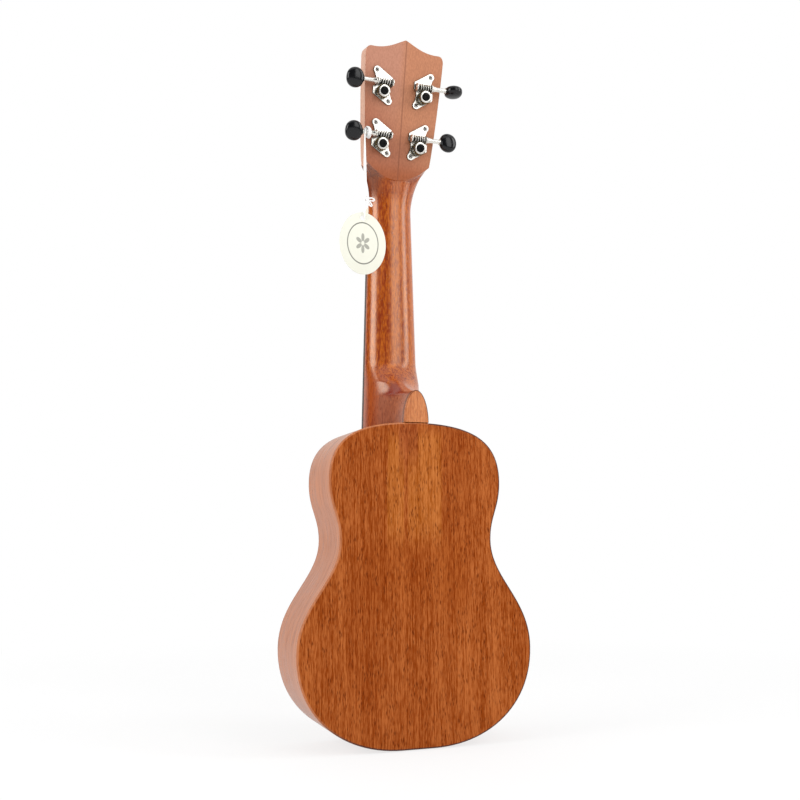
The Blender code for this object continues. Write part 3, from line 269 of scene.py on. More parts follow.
# Rows of points joined row to row, closed round each row, with its first and last row filled
def rowsPiece(name, rows):
    count = len(rows[0])
    last = (len(rows) - 1) * count
    faces = []
    for start in range(0, last, count):
        for i in range(count):
            after = (i + 1) % count
            faces.append([start + i, start + after, start + count + after, start + count + i])
    faces += [list(range(count)), [last + i for i in range(count)]]
    return outwards(meshPiece(name, [point for row in rows for point in row], faces=faces))


def softNode(name, node, width):        # a CAD node's own mesh with its edges eased
    piece = placed(name, nodes[node].data.copy())
    piece.data.materials.clear()
    editing(piece, everything=True)
    bpy.ops.mesh.remove_doubles(threshold=1e-6)
    bpy.ops.mesh.dissolve_limited(angle_limit=math.radians(1))
    leaveEdit()
    apply(piece, "BEVEL", width=width, segments=eased, limit_method="ANGLE",
          angle_limit=math.radians(40))
    return shade(piece)


def tubeAlong(name, points, diameter, sides, smooth=False):
    line = bpy.data.curves.new(name, "CURVE")
    line.dimensions = "3D"
    line.bevel_depth = diameter / 2
    line.bevel_resolution = sides
    line.use_fill_caps = True
    if smooth:
        line.resolution_u = 6
        spline = line.splines.new("BEZIER")
        spline.bezier_points.add(len(points) - 1)
        for knot, (left, at, right) in zip(spline.bezier_points, smoothKnots(points)):
            knot.handle_left_type = knot.handle_right_type = "FREE"
            knot.co, knot.handle_left, knot.handle_right = at, left, right
    else:
        spline = line.splines.new("POLY")
        spline.points.add(len(points) - 1)
        for knot, at in zip(spline.points, points):
            knot.co = (*at, 1)
    return placed(name, line)


def madeMesh(piece):
    focus(piece)
    bpy.ops.object.convert(target="MESH")
    return shade(bpy.context.object, angle=60)


def dressed(piece, body, slot, looks, *stoodFor):
    chosen = [face.material_index for face in piece.data.polygons] if len(looks) > 1 else []
    piece.data.materials.clear()                    # this forgets which face has which
    for look in looks:
        piece.data.materials.append(look)
    if chosen:
        piece.data.polygons.foreach_set("material_index", chosen)
    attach(piece, body)
    if stoodFor:
        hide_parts(*stoodFor)
    return piece


# Finishes: one socket of a node tree; sums written with it add their Math nodes

class Flow:
    def __init__(self, tree, socket=None):
        self.tree, self.socket = tree, socket

    def node(self, kind, settings, sockets, out=0):
        made = self.tree.nodes.new("ShaderNode" + kind)
        for key, value in settings.items():
            setattr(made, key, value)
        for key, value in sockets.items():
            if isinstance(value, Flow):
                self.tree.links.new(value.socket, made.inputs[key])
            else:
                made.inputs[key].default_value = (*value, 1) if made.inputs[key].type == "RGBA" else value
        return Flow(self.tree, made.outputs[out])

    def sum(self, operation, one, two=0.0):
        return self.node("Math", {"operation": operation}, {0: one, 1: two})

    def __add__(self, other):
        return self.sum("ADD", self, other)

    __radd__ = __add__

    def __sub__(self, other):
        return self.sum("SUBTRACT", self, other)

    def __rsub__(self, other):
        return self.sum("SUBTRACT", other, self)

    def __mul__(self, other):
        return self.sum("MULTIPLY", self, other)

    def __abs__(self):
        return self.sum("ABSOLUTE", self)

    def ease(self, none, full):         # from 0 to 1, smooth between the two levels, whichever is higher
        limits = {0: self, 1: none, 2: full, 3: 0.0, 4: 1.0}
        return self.node("MapRange", {"interpolation_type": "SMOOTHSTEP"}, limits)

    def blend(self, one, two):          # colour one where this is 0, colour two where it is 1
        return self.node("Mix", {"data_type": "RGBA"}, {0: self, 6: one, 7: two}, out=2)

    def axes(self):
        return [self.node("SeparateXYZ", {}, {0: self}, out=k) for k in range(3)]

    def length(self):
        return self.node("VectorMath", {"operation": "LENGTH"}, {0: self}, out="Value")

    def stretched(self, scale, turn=(0, 0, 0), shift=(0, 0, 0)):
        return self.node("Mapping", {}, {"Vector": self, "Location": shift, "Rotation": turn, "Scale": scale})

    def noise(self, detail):
        return self.node("TexNoise", {}, {"Vector": self, "Scale": 1.0, "Detail": detail})

    def bumps(self, strength, depth=0.0002):
        return self.node("Bump", {}, {"Strength": strength, "Distance": depth, "Height": self})


def newFinish(name, **constants):
    look = bpy.data.materials.new(name)
    look.use_nodes = True
    shader = look.node_tree.nodes["Principled BSDF"]
    for key, value in constants.items():
        socket = shader.inputs[key.replace("_", " ")]
        socket.default_value = (*value, 1) if socket.type == "RGBA" else value

    def feed(**links):
        for key, value in links.items():
            look.node_tree.links.new(value.socket, shader.inputs[key.replace("_", " ")])
    return look, Flow(look.node_tree), feed


def objectPlace(flow):
    return flow.node("TexCoord", {}, {}, out="Object")


def crossPlace(flow):                   # for wood whose grain runs along X
    return objectPlace(flow).stretched((1, 1, 1), turn=(0, math.radians(90), 0))


def uvPlace(flow):                      # across the strip in X, along it in Z
    u, v, _ = flow.node("TexCoord", {}, {}, out="UV").axes()
    return flow.node("CombineXYZ", {}, {0: v, 1: 0.0, 2: u})


def cloudOf(flow, scale, detail):
    return objectPlace(flow).stretched((scale, scale, scale)).noise(detail)


def scaled(colour, share):
    return tuple(part * share for part in colour)


# Cloudy stuff between two colours, duller where it is paler
cloudDull = 0.2


def cloudFinish(name, colours, scale, detail, gloss, levels=None, relief=0.0, **constants):
    look, flow, feed = newFinish(name, **constants)
    cloud = objectPlace(flow).stretched(scale).noise(detail)
    shadeOf = cloud.ease(*levels) if levels else cloud
    feed(Base_Color=shadeOf.blend(*colours), Roughness=gloss + cloud * cloudDull)
    if relief:
        feed(Normal=cloud.bumps(relief))
    return look


# Wood with its grain along Z: broad ribbons, fine fibres and flecks, and short dark pores.
# A layer has its noise's detail and the levels where it is 0 and 1.
# A broad noise makes the grain drift and sway
grain = {"ribbon": (2.0, 0.32, 0.68), "fibre": (3.0, 0.28, 0.72), "fleck": (2.0, 0.30, 0.70),
         "spread": (1.0, 0.40, 0.60), "drift": (14, 14, 5), "sway": (160, 160, 70), "poreHeart": 0.08,
         "shade": (0.1, 0.9), "fibreRelief": 0.3, "fleckRelief": 0.2}


def woodPattern(place, wood):
    x, y, z = place.axes()
    for key in ("drift", "sway"):
        x = x + (place.stretched(grain[key]).noise(detail=1.0) - 0.5) * wood[key]
    bent = place.node("CombineXYZ", {}, {0: x, 1: y, 2: z})

    def drawn(key):
        across, along = wood[key]
        return bent.stretched((across, across, along))

    def layer(key):
        detail, none, full = grain[key]
        return drawn(key).noise(detail).ease(none, full)
    cells = {"Vector": drawn("pores"), "Scale": 1.0, "Randomness": 1.0}
    pore = bent.node("TexVoronoi", {"feature": "F1"}, cells, out="Distance")
    pore = pore.ease(wood["poreWidth"], grain["poreHeart"])
    if "spread" in wood:                # pores lie closer in some places
        pore = pore * layer("spread")
    return layer("ribbon"), layer("fibre"), layer("fleck"), pore


def woodFinish(name, wood, placeOf=objectPlace, paint=None, tones=(), **constants):
    look, flow, feed = newFinish(name, **constants)
    place = placeOf(flow)
    ribbon, fibre, fleck, pore = woodPattern(place, wood)
    ribbonShare, fibreShare, fleckShare = wood["shares"]
    shadeOf = (ribbon * ribbonShare + fibre * fibreShare + fleck * fleckShare).ease(*grain["shade"])
    colour = shadeOf.blend(wood["deep"], wood["light"])
    if paint:
        colour = paint(place, colour, shadeOf)
    colour = toned(place, colour, shadeOf, tones)
    colour = (pore * wood["poreDark"]).blend(colour, wood["poreColour"])
    dull = wood["gloss"] + fibre * wood["glossVaries"] + pore * wood["glossVaries"]
    if "softFoot" in wood:              # less glossy towards its foot
        low, high, more = wood["softFoot"]
        dull = dull + place.axes()[2].ease(high, low) * more
    relief = fibre * grain["fibreRelief"] + fleck * grain["fleckRelief"] - pore
    feed(Base_Color=colour, Roughness=dull, Normal=relief.bumps(wood["relief"]))
    return look


# Tones laid over a wood: a share, the darkest and lightest colour, and the limits in mm between which
# the tone sets in along an axis; the slant runs up the wood and across it
slantAcross = 1.1


def toned(place, colour, shadeOf, tones):
    if tones:
        x, y, z = place.axes()
        axes = {"x": x, "y": y, "z": z, "slant": z - x * slantAcross}
    for share, deep, light, *limits in tones:
        for axis, none, full in limits:
            share = axes[axis].ease(none * mm, full * mm) * share
        colour = share.blend(colour, shadeOf.blend(deep, light))
    return colour


# Camera, at the photograph's place and angle

view = {"place": (0.25228, 0.69766, 0.14587), "right": (-0.94162, 0.33663, -0.00594),
        "up": (0.04101, 0.13221, 0.99037), "lens": 44.46, "sensor": 36, "near": 0.01}
eye = placed("eye", bpy.data.cameras.new("eye"))
right, up = Vector(view["right"]), Vector(view["up"])
back = right.cross(up)
turned = [(*axes, spot) for axes, spot in zip(zip(right, up, back), view["place"])]
eye.matrix_world = Matrix(turned + [(0, 0, 0, 1)])
eye.data.lens, eye.data.sensor_width, eye.data.clip_start = view["lens"], view["sensor"], view["near"]
bpy.context.scene.camera = eye
bpy.context.scene.view_settings.view_transform = "Standard"
print("camera set")


# Cord of the hang tag: over the tuner's shaft, both ends down to the bow, and a loop through the tag's eye

cord = {"shaft": (0.0302, 0.0010044, 0.4582502), "diameter": 0.0011, "colour": (0.93, 0.93, 0.92),
        "shadow": (0.74, 0.74, 0.73), "strands": 2, "twist": 900, "gloss": 0.75, "fuzz": 4000,
        "route": ((-1.3, -0.6, -52.0), (-1.1, -0.9, -38.0), (-0.9, -1.5, -20.0), (-0.8, -2.3, -6.0),
                  (-0.75, -2.55, -1.2), (-0.6, -2.15, 1.5), (-0.1, -0.9, 2.5), (0.1, 0.9, 2.5),
                  (0.6, 2.15, 1.5), (0.75, 2.55, -1.2), (0.8, 2.3, -6.0), (0.9, 1.5, -20.0),
                  (1.0, 1.0, -38.0), (1.0, 0.95, -55.0), (0.9, 1.3, -66.0), (0.8, 1.15, -68.7),
                  (0.8, 0.0, -69.6), (0.8, -1.15, -68.7), (0.6, -1.3, -66.0), (0.4, -0.9, -58.0),
                  (0.5, -0.8, -53.5)),
        # the wrap round the shaft: turns made so far, how far along the shaft, and radius
        "wrap": ((0, -0.9, 2.4), (3, -4.1, 2.4), (3.5, -4.0, 3.3), (5.5, -1.6, 3.35), (6, -1.9, 4.1),
                 (7.2, -3.2, 4.15), (7.5, -3.0, 3.2)),
        "wrapTilt": 0.14, "wrapSteps": 16,
        # the bow's two loops and two tails, all to one side of where the ends meet: sideways, up and outwards
        "bowAt": (-0.2, 0.2, -54.6), "sideways": (-0.94, 0.34, 0), "outwards": (0.34, 0.94, 0),
        "bow": ((-2.2, 1.9, 0.2), (-1.2, 1.1, 0.7), (0.4, 0.3, 1.0), (2.6, 0.5, 1.2), (5.2, 0.7, 0.9),
                (7.0, -0.2, 0.4), (6.2, -1.2, 0.0), (3.6, -0.9, 0.3), (0.9, -0.3, 0.9), (-0.7, 0.7, 0.5),
                (-0.5, 0.9, -0.9), (0.8, 0.2, -1.0), (0.6, -0.8, 0.2), (-0.3, -0.2, 1.6), (0.6, 0.5, 1.9),
                (1.5, -1.4, 1.3), (2.9, -3.8, 0.9), (4.2, -5.6, 0.5), (5.1, -5.0, 0.3), (4.3, -3.2, 0.6),
                (2.3, -1.2, 1.2), (0.4, 0.0, 1.0), (-0.8, -1.4, 0.6), (-0.9, -3.0, 0.3))}


def cordFinish():
    look, flow, feed = newFinish("cordCotton")
    place = objectPlace(flow)
    around = flow.node("TexCoord", {}, {}, out="UV").axes()[1]
    strand = flow.sum("FRACT", around * cord["strands"] + place.axes()[2] * cord["twist"])
    groove = abs(strand - 0.5).ease(0.25, 0.5)
    fuzz = cloudOf(flow, cord["fuzz"], detail=2.0)
    colour = (groove * 0.6 + fuzz * 0.25).blend(cord["colour"], cord["shadow"])
    relief = fuzz * 0.3 - groove
    feed(Base_Color=colour, Roughness=cord["gloss"] + fuzz * 0.2,
         Normal=relief.bumps(strength=0.6, depth=0.0001))
    return look


def wrapRoute():
    points = []
    bare = cord["wrap"][0][2]
    for (first, along, radius), (last, alongNext, radiusNext) in zip(cord["wrap"], cord["wrap"][1:]):
        steps = round((last - first) * cord["wrapSteps"])
        for share in (k / steps for k in range(steps)):
            turn = 2 * math.pi * mix(first, last, share)
            out = mix(radius, radiusNext, share)
            tilt = cord["wrapTilt"] * max(0.0, out - bare) * out
            sideways = mix(along, alongNext, share) + tilt * math.sin(turn + first)
            points.append(shaftSpot + mm * Vector((sideways, out * math.cos(turn), out * math.sin(turn))))
    return points


cordCotton = cordFinish()
shaftSpot = Vector(cord["shaft"])
route = [shaftSpot + mm * Vector(spot) for spot in cord["route"]]
tagCord = tubeAlong("tag_cord_line", route, cord["diameter"], sides=4, smooth=True)
dressed(tagCord, "tag", "tag_cord", [cordCotton], "tag_cord")
knot = shaftSpot + mm * Vector(cord["bowAt"])
bowAxes = Matrix((cord["sideways"], (0, 0, 1), cord["outwards"])).transposed()
bowRoute = [knot + mm * (bowAxes @ Vector(spot)) for spot in cord["bow"]]
tagBow = madeMesh(tubeAlong("tag_cord_bow", bowRoute, cord["diameter"], sides=3, smooth=True))
tagWrap = madeMesh(tubeAlong("tag_cord_wrap", wrapRoute(), cord["diameter"], sides=3, smooth=True))
for piece in (tagBow, tagWrap):
    dressed(piece, "tag", "tag_cord", [cordCotton])


# Sound box: two plates and two bent ribs

soundBox = {"length": 0.229, "depth": 0.0595, "tail": 0.012, "lower": (0.088, 0.0666),
            "waist": (0.0575, 0.144), "upper": (0.0655, 0.187), "tailFull": (0.55, 0.63),
            "hipFull": (0.45, 0.36), "chestFull": (0.41, 0.45), "shoulderFull": (0.71, 0.69),
            "plate": 0.0018, "plateEdge": 0.0012, "rib": 0.0018, "ribEdge": 0.0002, "glue": 0.0002,
            "hole": 0.024, "holeTool": 0.01, "holeAt": 0.149, "seam": 0.006, "ribTop": 0.0083, "steps": 26,
            "ribSharp": 1.2, "ribFlat": 0.02, "plateFlat": 0.999, "boutFrom": 0.08, "uvApart": 0.3}
halfDepth = soundBox["depth"] / 2
# the inlaid rings: middle radius, half width and colour
rings = ((0.0272, 0.0004, (0.035, 0.018, 0.012)), (0.0288, 0.0009, (0.55, 0.40, 0.22)),
         (0.0304, 0.0004, (0.035, 0.018, 0.012)))
ringBlur = 0.0001
sapele = {"deep": (0.225, 0.036, 0.001), "light": (0.440, 0.122, 0.028), "poreColour": (0.105, 0.013, 0.0001),
          "shares": (0.18, 0.50, 0.32), "ribbon": (70, 2.5), "fibre": (1700, 190), "fleck": (800, 22),
          "drift": 0.003, "sway": 0.0006, "pores": (1100, 200), "spread": (260, 70), "poreWidth": 0.46,
          "poreDark": 1.0, "gloss": 0.34, "glossVaries": 0.12, "relief": 0.15}
# the plates' and cap's edges are dark: painted shade along the rim
edgeShadingWood = dict(sapele, deep=(0.055, 0.010, 0.002), light=(0.125, 0.026, 0.006), poreDark=0.3, gloss=0.28)
# the ribs' wood is paler and pinker than the back's, a painted sheen; its grain runs along the rib
ribWood = dict(sapele, deep=(0.32, 0.084, 0.015), light=(0.49, 0.152, 0.038), fibre=(900, 30), fleck=(900, 9),
               pores=(800, 50), poreDark=0.45, gloss=0.26)
# the back's bands: middle and half width, foot and top, share, and the darkest and lightest tone
golden, dusky = ((0.33, 0.080, 0.006), (0.54, 0.180, 0.042)), ((0.20, 0.028, 0.001), (0.36, 0.085, 0.014))
backBands = ((0.0158, 0.0058, 0.150, 0.217, 0.70, golden), (-0.0060, 0.0132, 0.150, 0.220, 0.70, golden),
             (0.0064, 0.0075, 0.204, 0.228, 0.70, ((0.20, 0.030, 0.004), (0.36, 0.090, 0.026))),
             (-0.0300, 0.0110, 0.095, 0.224, 0.40, dusky), (0.0400, 0.0120, 0.020, 0.120, 0.30, dusky),
             (0.0020, 0.0400, 0.105, 0.142, 0.35, ((0.19, 0.026, 0.001), (0.39, 0.092, 0.012))),
             (-0.0520, 0.0260, 0.020, 0.085, 0.30, ((0.28, 0.052, 0.003), (0.50, 0.150, 0.038))))
bandEase = {"wander": (60, 60, 9), "wanderBy": 0.006, "side": (1.10, 0.88), "foot": (-0.02, 0.012),
            "top": (0.008, -0.006)}
edgeShadingTones = (  # a painted highlight, paler where it faces the treble side, and plain wood where cap and back meet
    (1.0, (0.36, 0.110, 0.036), (0.50, 0.175, 0.066), ("x", -4, 10), ("z", 3, 30)),
    (1.0, (0.26, 0.060, 0.010), (0.42, 0.120, 0.026), ("x", -10, -8.5), ("x", 10, 8.5), ("z", 222, 226),
     ("z", 231.5, 230.5)))
ribTones = (   # painted shade, greyer round the tail, and painted sheen, paler round the shoulder
    (0.5, (0.28, 0.082, 0.024), (0.39, 0.128, 0.044), ("z", 160, 50)),
    (0.6, (0.39, 0.150, 0.052), (0.54, 0.225, 0.088), ("z", 260, 320)))


def halfStretches():
    box = soundBox
    tail, length = (box["tail"], 0), (0, box["length"])
    (lower, lowerAt), (waist, waistAt), (upper, upperAt) = box["lower"], box["waist"], box["upper"]
    hip, chest, shoulder = waistAt - lowerAt, upperAt - waistAt, box["length"] - upperAt
    (tailOut, tailUp), (crownUp, crownOut) = box["tailFull"], box["shoulderFull"]
    (hipLow, hipHigh), (chestLow, chestHigh) = box["hipFull"], box["chestFull"]
    return (
        (tail, (mix(tail[0], lower, tailOut), 0), (lower, lowerAt * (1 - tailUp)), box["lower"]),
        (box["lower"], (lower, lowerAt + hipLow * hip), (waist, waistAt - hipHigh * hip), box["waist"]),
        (box["waist"], (waist, waistAt + chestLow * chest), (upper, upperAt - chestHigh * chest),
         box["upper"]),
        (box["upper"], (upper, upperAt + crownUp * shoulder), (crownOut * upper, box["length"]), length))


def shareAtX(stretch, x, halvings=40):
    low, high = 0.0, 1.0
    for _ in range(halvings):
        middle = (low + high) / 2
        low, high = (middle, high) if bezierAt(stretch, middle).x > x else (low, middle)
    return (low + high) / 2


# The treble half from the tail up, as points with their outward normals
def halfOutline(startX=0.0, endX=0.0):
    spots = [(Vector((startX, 0)), Vector((0, -1)))]
    stretches = halfStretches()
    for stretch in stretches:
        last = stretch is stretches[-1]
        reach = shareAtX(stretch, endX) if last else 1.0
        for k in range(soundBox["steps"] + last):
            t = reach * k / soundBox["steps"]
            slope = slopeAt(stretch, t).normalized()
            spots.append((bezierAt(stretch, t), Vector((slope.y, -slope.x))))
    return spots


def wholeOutline(inset):
    half = [spot - normal * inset for spot, normal in halfOutline()]
    return half + mirrored(half[1:-1])


def rosette(place, colour, shadeOf):
    radius = place.stretched((1, 0, 1), shift=(0, 0, -soundBox["holeAt"])).length()
    for middle, half, inlay in rings:
        colour = abs(radius - middle).ease(half + ringBlur, half - ringBlur).blend(colour, inlay)
    return colour


def backFigure(place, colour, shadeOf):
    x, _, z = place.axes()
    across = x + (place.stretched(bandEase["wander"]).noise(detail=2.0) - 0.5) * bandEase["wanderBy"]
    for middle, half, low, high, share, tone in backBands:
        band = abs(across - middle).ease(*[half * part for part in bandEase["side"]])
        band = band * z.ease(*[low + part for part in bandEase["foot"]])
        band = band * z.ease(*[high + part for part in bandEase["top"]])
        colour = (band * share).blend(colour, shadeOf.blend(*tone))
    return colour


def darkEdged(piece):                   # the eased edge and the cut side take the second finish, dark with painted shade
    for face in piece.data.polygons:
        face.material_index = 1 if abs(face.normal.y) < soundBox["plateFlat"] else 0
    return crisp(piece, lambda face: face.material_index == 0)


def platePiece(name, front):
    box = soundBox
    piece = sheetCutTo(name, wholeOutline(0), box["plate"])
    settle(piece, Matrix.Translation((0, -halfDepth + box["plate"] if front else halfDepth, 0)) @ standUp)
    face = -halfDepth if front else halfDepth
    if front:
        place = Matrix.Translation((0, face, box["holeAt"])) @ standUp
        combine(piece, rod(box["hole"], box["holeTool"], place, sides=96))
    softenEdges(piece, box["plateEdge"], rounded, sharpWhere(lambda spot: abs(spot.y - face) < flush))
    return darkEdged(shade(piece))


def ribPiece(name, side):
    box = soundBox
    spots = halfOutline(box["glue"] / 2 - box["seam"] * side, box["ribTop"])
    reach = halfDepth - box["plate"] - box["glue"]
    walk = [0.0]
    for (one, _), (two, _) in zip(spots, spots[1:]):
        walk.append(walk[-1] + (two - one).length)
    levels = [-reach, -reach / 3, reach / 3, reach]
    count = len(levels)
    faces = [(r * count + i, r * count + i + 1, (r + 1) * count + i + 1, (r + 1) * count + i)
             for r in range(len(spots) - 1) for i in range(count - 1)]
    piece = meshPiece(name, [(spot.x * side, y, spot.y) for spot, _ in spots for y in levels], faces=faces)
    mesh = piece.data
    strip = mesh.uv_layers.new(name="along")
    for loop in mesh.loops:
        row, column = divmod(loop.vertex_index, count)
        strip.data[loop.index].uv = (walk[row], levels[column] + box["uvApart"] * side)
    editing(piece, everything=True)
    bpy.ops.mesh.normals_make_consistent(inside=False)
    leaveEdit()
    if sum(face.normal.x * side for face in mesh.polygons if abs(face.center.x) > box["boutFrom"]) < 0:
        mesh.flip_normals()
    apply(piece, "SOLIDIFY", thickness=box["rib"], offset=-1, use_even_offset=True)
    softenEdges(piece, box["ribEdge"], eased, lambda edge: isSharp(edge, box["ribSharp"]))
    return crisp(shade(piece), lambda face: abs(face.normal.y) < box["ribFlat"])


backSapele = woodFinish("backSapele", sapele, paint=backFigure, Specular_IOR_Level=0.04)
topSapele = woodFinish("topSapele", sapele, paint=rosette, Specular_IOR_Level=0.10)
edgeShadingSapele = woodFinish("edgeShadingSapele", edgeShadingWood, tones=edgeShadingTones, Specular_IOR_Level=0.25)
ribSapele = woodFinish("ribSapele", ribWood, placeOf=uvPlace, tones=ribTones)
dressed(platePiece("back", False), "instrument", "body_wood", [backSapele, edgeShadingSapele], "back_plate")
dressed(platePiece("top", True), "instrument", "body_wood", [topSapele, edgeShadingSapele], "soundboard")
dressed(ribPiece("treble_rib", 1), "instrument", "body_wood", [ribSapele], "rib_treble")
dressed(ribPiece("bass_rib", -1), "instrument", "body_wood", [ribSapele], "rib_bass")
print("sound box made")


# Neck: heel, shaft and headstock in one piece of wood

neckForm = {"nutAt": 0.404, "heelAt": 0.229, "boardNut": 0.0350, "boardBody": 0.0442, "nutDepth": 0.0140,
            "heelDepth": 0.0160, "round": 0.60, "keel": 0.0004, "heelLength": 0.054, "heelSweep": 1.7,
            "heelShoulder": 0.34, "heelWaist": 0.52, "capWidth": 0.019, "capLength": 0.024,
            "capThick": 0.0022, "capEdge": 0.0008, "capSteps": 24, "capSharp": 0.0005, "heelRound": 0.0012,
            "bendAt": 0.410, "bendSoft": 0.003, "shelfEnd": 0.404 + 0.0055, "footReach": 0.006,
            "tenon": ((-0.008, 0.002 - halfDepth, 0.215), (0.008, halfDepth - 0.0044, 0.235)),
            "sectionSteps": 24, "heelRows": 16, "hollowRows": 40, "hollowCrowd": 1.5, "shaftRows": 16,
            "headRows": 36}
headForm = {"tilt": math.radians(12.9), "setback": 0.0132, "thick": 0.012, "length": 0.1323,
            "shoulderAt": 0.1243, "shoulder": 0.0279, "cornerAt": 0.1185, "top": 0.0322, "jowlAt": 0.0364,
            "jowl": 0.0266, "flareCurve": 2.3, "side": ((0.32, 0.13), (0.88, 0.72)),
            "corner": ((0, 0.6), (0.35, 1)), "crown": ((0.48, -0.09), (0.74, 0.64)), "cutFrom": 0.011,
            "edge": 0.0005, "sharpFrom": 1.1, "sideFrom": 0.7, "postHole": 0.0043, "postClear": 0.006,
            "jowlBlend": 0.003,
            # the back face ends in an arc over the neck, and a hollow skirt runs down from the arc
            "arcAt": 0.0235, "arcCurve": 1.9, "skirtDepth": 0.006, "skirtRun": 0.0045, "skirtTo": 0.005,
            "arcSteps": 24, "sideSteps": 18, "skirtRows": 8}
cutter = {"half": 0.08, "top": 0.25, "deep": 0.1, "through": 0.05}     # tools reach well past the wood
postSpots = {"g": (0.0156, 0.0496), "c": (0.01725, 0.0897), "e": (-0.01725, 0.0897), "a": (-0.0156, 0.0496)}
sine, cosine = math.sin(headForm["tilt"]), math.cos(headForm["tilt"])
headFrame = Matrix(((-1, 0, 0, 0), (0, sine, cosine, headForm["setback"] - halfDepth),
                    (0, cosine, -sine, neckForm["nutAt"]), (0, 0, 0, 1)))
headOut = Vector((0, cosine, -sine))


def boardHalf(z):
    share = (neckForm["nutAt"] - z) / (neckForm["nutAt"] - neckForm["heelAt"])
    return mix(neckForm["boardNut"], neckForm["boardBody"], share) / 2


def headPlane(level, z):
    along = (z - neckForm["nutAt"] + level * sine) / cosine
    return (headFrame @ Vector((0, along, level))).y


def heelHalf(z):
    rise = clamped((z - neckForm["heelAt"]) / neckForm["capLength"])
    return max(neckForm["keel"], neckForm["capWidth"] / 2 * math.sqrt(1 - rise * rise))


def neckRow(z, half, front, back, heel, fuller=None):
    form = neckForm
    fuller = fuller or back
    depth = fuller - front
    flank = fuller - depth * form["heelWaist"] * heel
    stretch = ((half, front), (half, front + depth * mix(form["round"], form["heelShoulder"], heel)),
               (mix(form["round"] * half, form["capWidth"] / 2 + form["heelRound"], heel), min(flank, back)),
               (heelHalf(z), back))
    side = [bezierAt(stretch, k / form["sectionSteps"]) for k in range(form["sectionSteps"] + 1)]
    return [(*spot, z) for spot in side + mirrored(side)]


def leanAt(z):                          # straight up past the nut, then leaning back as the headstock does
    form = neckForm
    lean = form["bendSoft"] * math.log1p(math.exp((z - form["bendAt"]) / form["bendSoft"]))
    return form["nutDepth"] - halfDepth + sine / cosine * lean


def neckRows():
    form, head = neckForm, headForm
    seat = halfDepth - form["capThick"] - soundBox["glue"]
    shaftBack = form["heelDepth"] - halfDepth
    foot, nut = form["heelAt"], form["nutAt"]
    tip, start = foot + form["capLength"], foot + form["heelLength"]
    heel = [foot - form["footReach"]]
    heel += [mix(foot, tip, math.sin(math.pi / 2 * k / form["heelRows"])) for k in range(form["heelRows"])]
    rows = [neckRow(z, boardHalf(z), -halfDepth, seat, 1.0) for z in heel]
    for k in range(form["hollowRows"]):             # the hollow between heel and shaft
        share = 1 - (k / form["hollowRows"]) ** form["hollowCrowd"]
        z = mix(start, tip, share)
        swell = 1 - (1 - share ** form["heelSweep"]) ** (1 / form["heelSweep"])
        soft = share * share * (3 - 2 * share)
        rear, fuller = mix(shaftBack, seat, swell), mix(shaftBack, seat, soft)
        rows.append(neckRow(z, boardHalf(z), -halfDepth, rear, soft, fuller))
    for share in (k / form["shaftRows"] for k in range(form["shaftRows"])):
        z = mix(start, nut, share)
        rows.append(neckRow(z, boardHalf(z), -halfDepth, mix(shaftBack, leanAt(z), share), 0.0))
    shelf = headPlane(-head["thick"], form["shelfEnd"]) + halfDepth
    jowl = nut + head["jowlAt"] * cosine
    for k in range(form["headRows"] + 2):           # the last row goes on straight, inside the headstock
        share = min(1.0, k / form["headRows"])
        z = mix(nut, jowl, share) + (head["thick"] * sine if k > form["headRows"] else 0.0)
        front = -halfDepth if z < form["shelfEnd"] else headPlane(-head["thick"], z) - shelf
        half = mix(form["boardNut"] / 2, head["jowl"], share ** head["flareCurve"])
        rows.append(neckRow(z, half, front, leanAt(z), 0.0))
    return rows


def headOutline(depth):                 # at some depth under the back face
    form = headForm
    corners = [Vector(spot) for spot in ((form["jowl"], form["jowlAt"]), (form["top"], form["cornerAt"]),
                                         (form["shoulder"], form["shoulderAt"]), (0, form["length"]))]
    run = -form["skirtRun"] * math.log(1 - min(max(depth, 0.0), form["skirtTo"]) / form["skirtDepth"])
    right = []
    for share in (k / form["arcSteps"] for k in range(1, form["arcSteps"])):
        arc = mix(form["arcAt"], form["jowlAt"], share ** form["arcCurve"])
        right.append(Vector((form["jowl"] * share, arc - run * (1 - share ** 3))))
    for start, end, handles in zip(corners, corners[1:], (form["side"], form["corner"], form["crown"])):
        span = end - start
        inner = [start + Vector((span.x * across, span.y * along)) for across, along in handles]
        right += [bezierAt((start, *inner, end), k / form["sideSteps"]) for k in range(form["sideSteps"])]
    return [Vector((0, form["arcAt"] - run)), *right, corners[-1], *mirrored(right)]


def headPlate():
    thick, rows = headForm["thick"], headForm["skirtRows"]
    depths = [-thick / 2, 0.0, *[headForm["skirtTo"] * k / rows for k in range(1, rows + 1)], 1.5 * thick]
    outlines = [[headFrame @ Vector((*spot, -depth)) for spot in headOutline(depth)] for depth in depths]
    return rowsPiece("plate", outlines)


def clearOfPosts(spot):
    return min((spot.xy - Vector(post)).length for post in postSpots.values()) > headForm["postClear"]


def headRim(edge):                      # the headstock's own outline, on both its faces
    if not isSharp(edge, headForm["sharpFrom"]):
        return False
    spots = [headFrame.inverted() @ end.co for end in edge.verts]
    if min(spot.y for spot in spots) < headForm["jowlAt"] - headForm["edge"]:
        return False
    return all(clearOfPosts(spot) and min(abs(spot.z), abs(spot.z + headForm["thick"])) < flush
               for spot in spots)


def neckPart(face):                     # 0 is the neck's gloss, 1 the headstock's satin, 2 its side
    spot = headFrame.inverted() @ face.center
    jowlAt, blend = headForm["jowlAt"], headForm["jowlBlend"]
    if spot.y > jowlAt - blend and abs(face.normal.x) > headForm["sideFrom"] and clearOfPosts(spot):
        return 2
    flat = abs(face.normal.dot(headOut)) > facing and spot.y > headForm["cutFrom"]
    return 1 if flat or spot.y > jowlAt + blend else 0


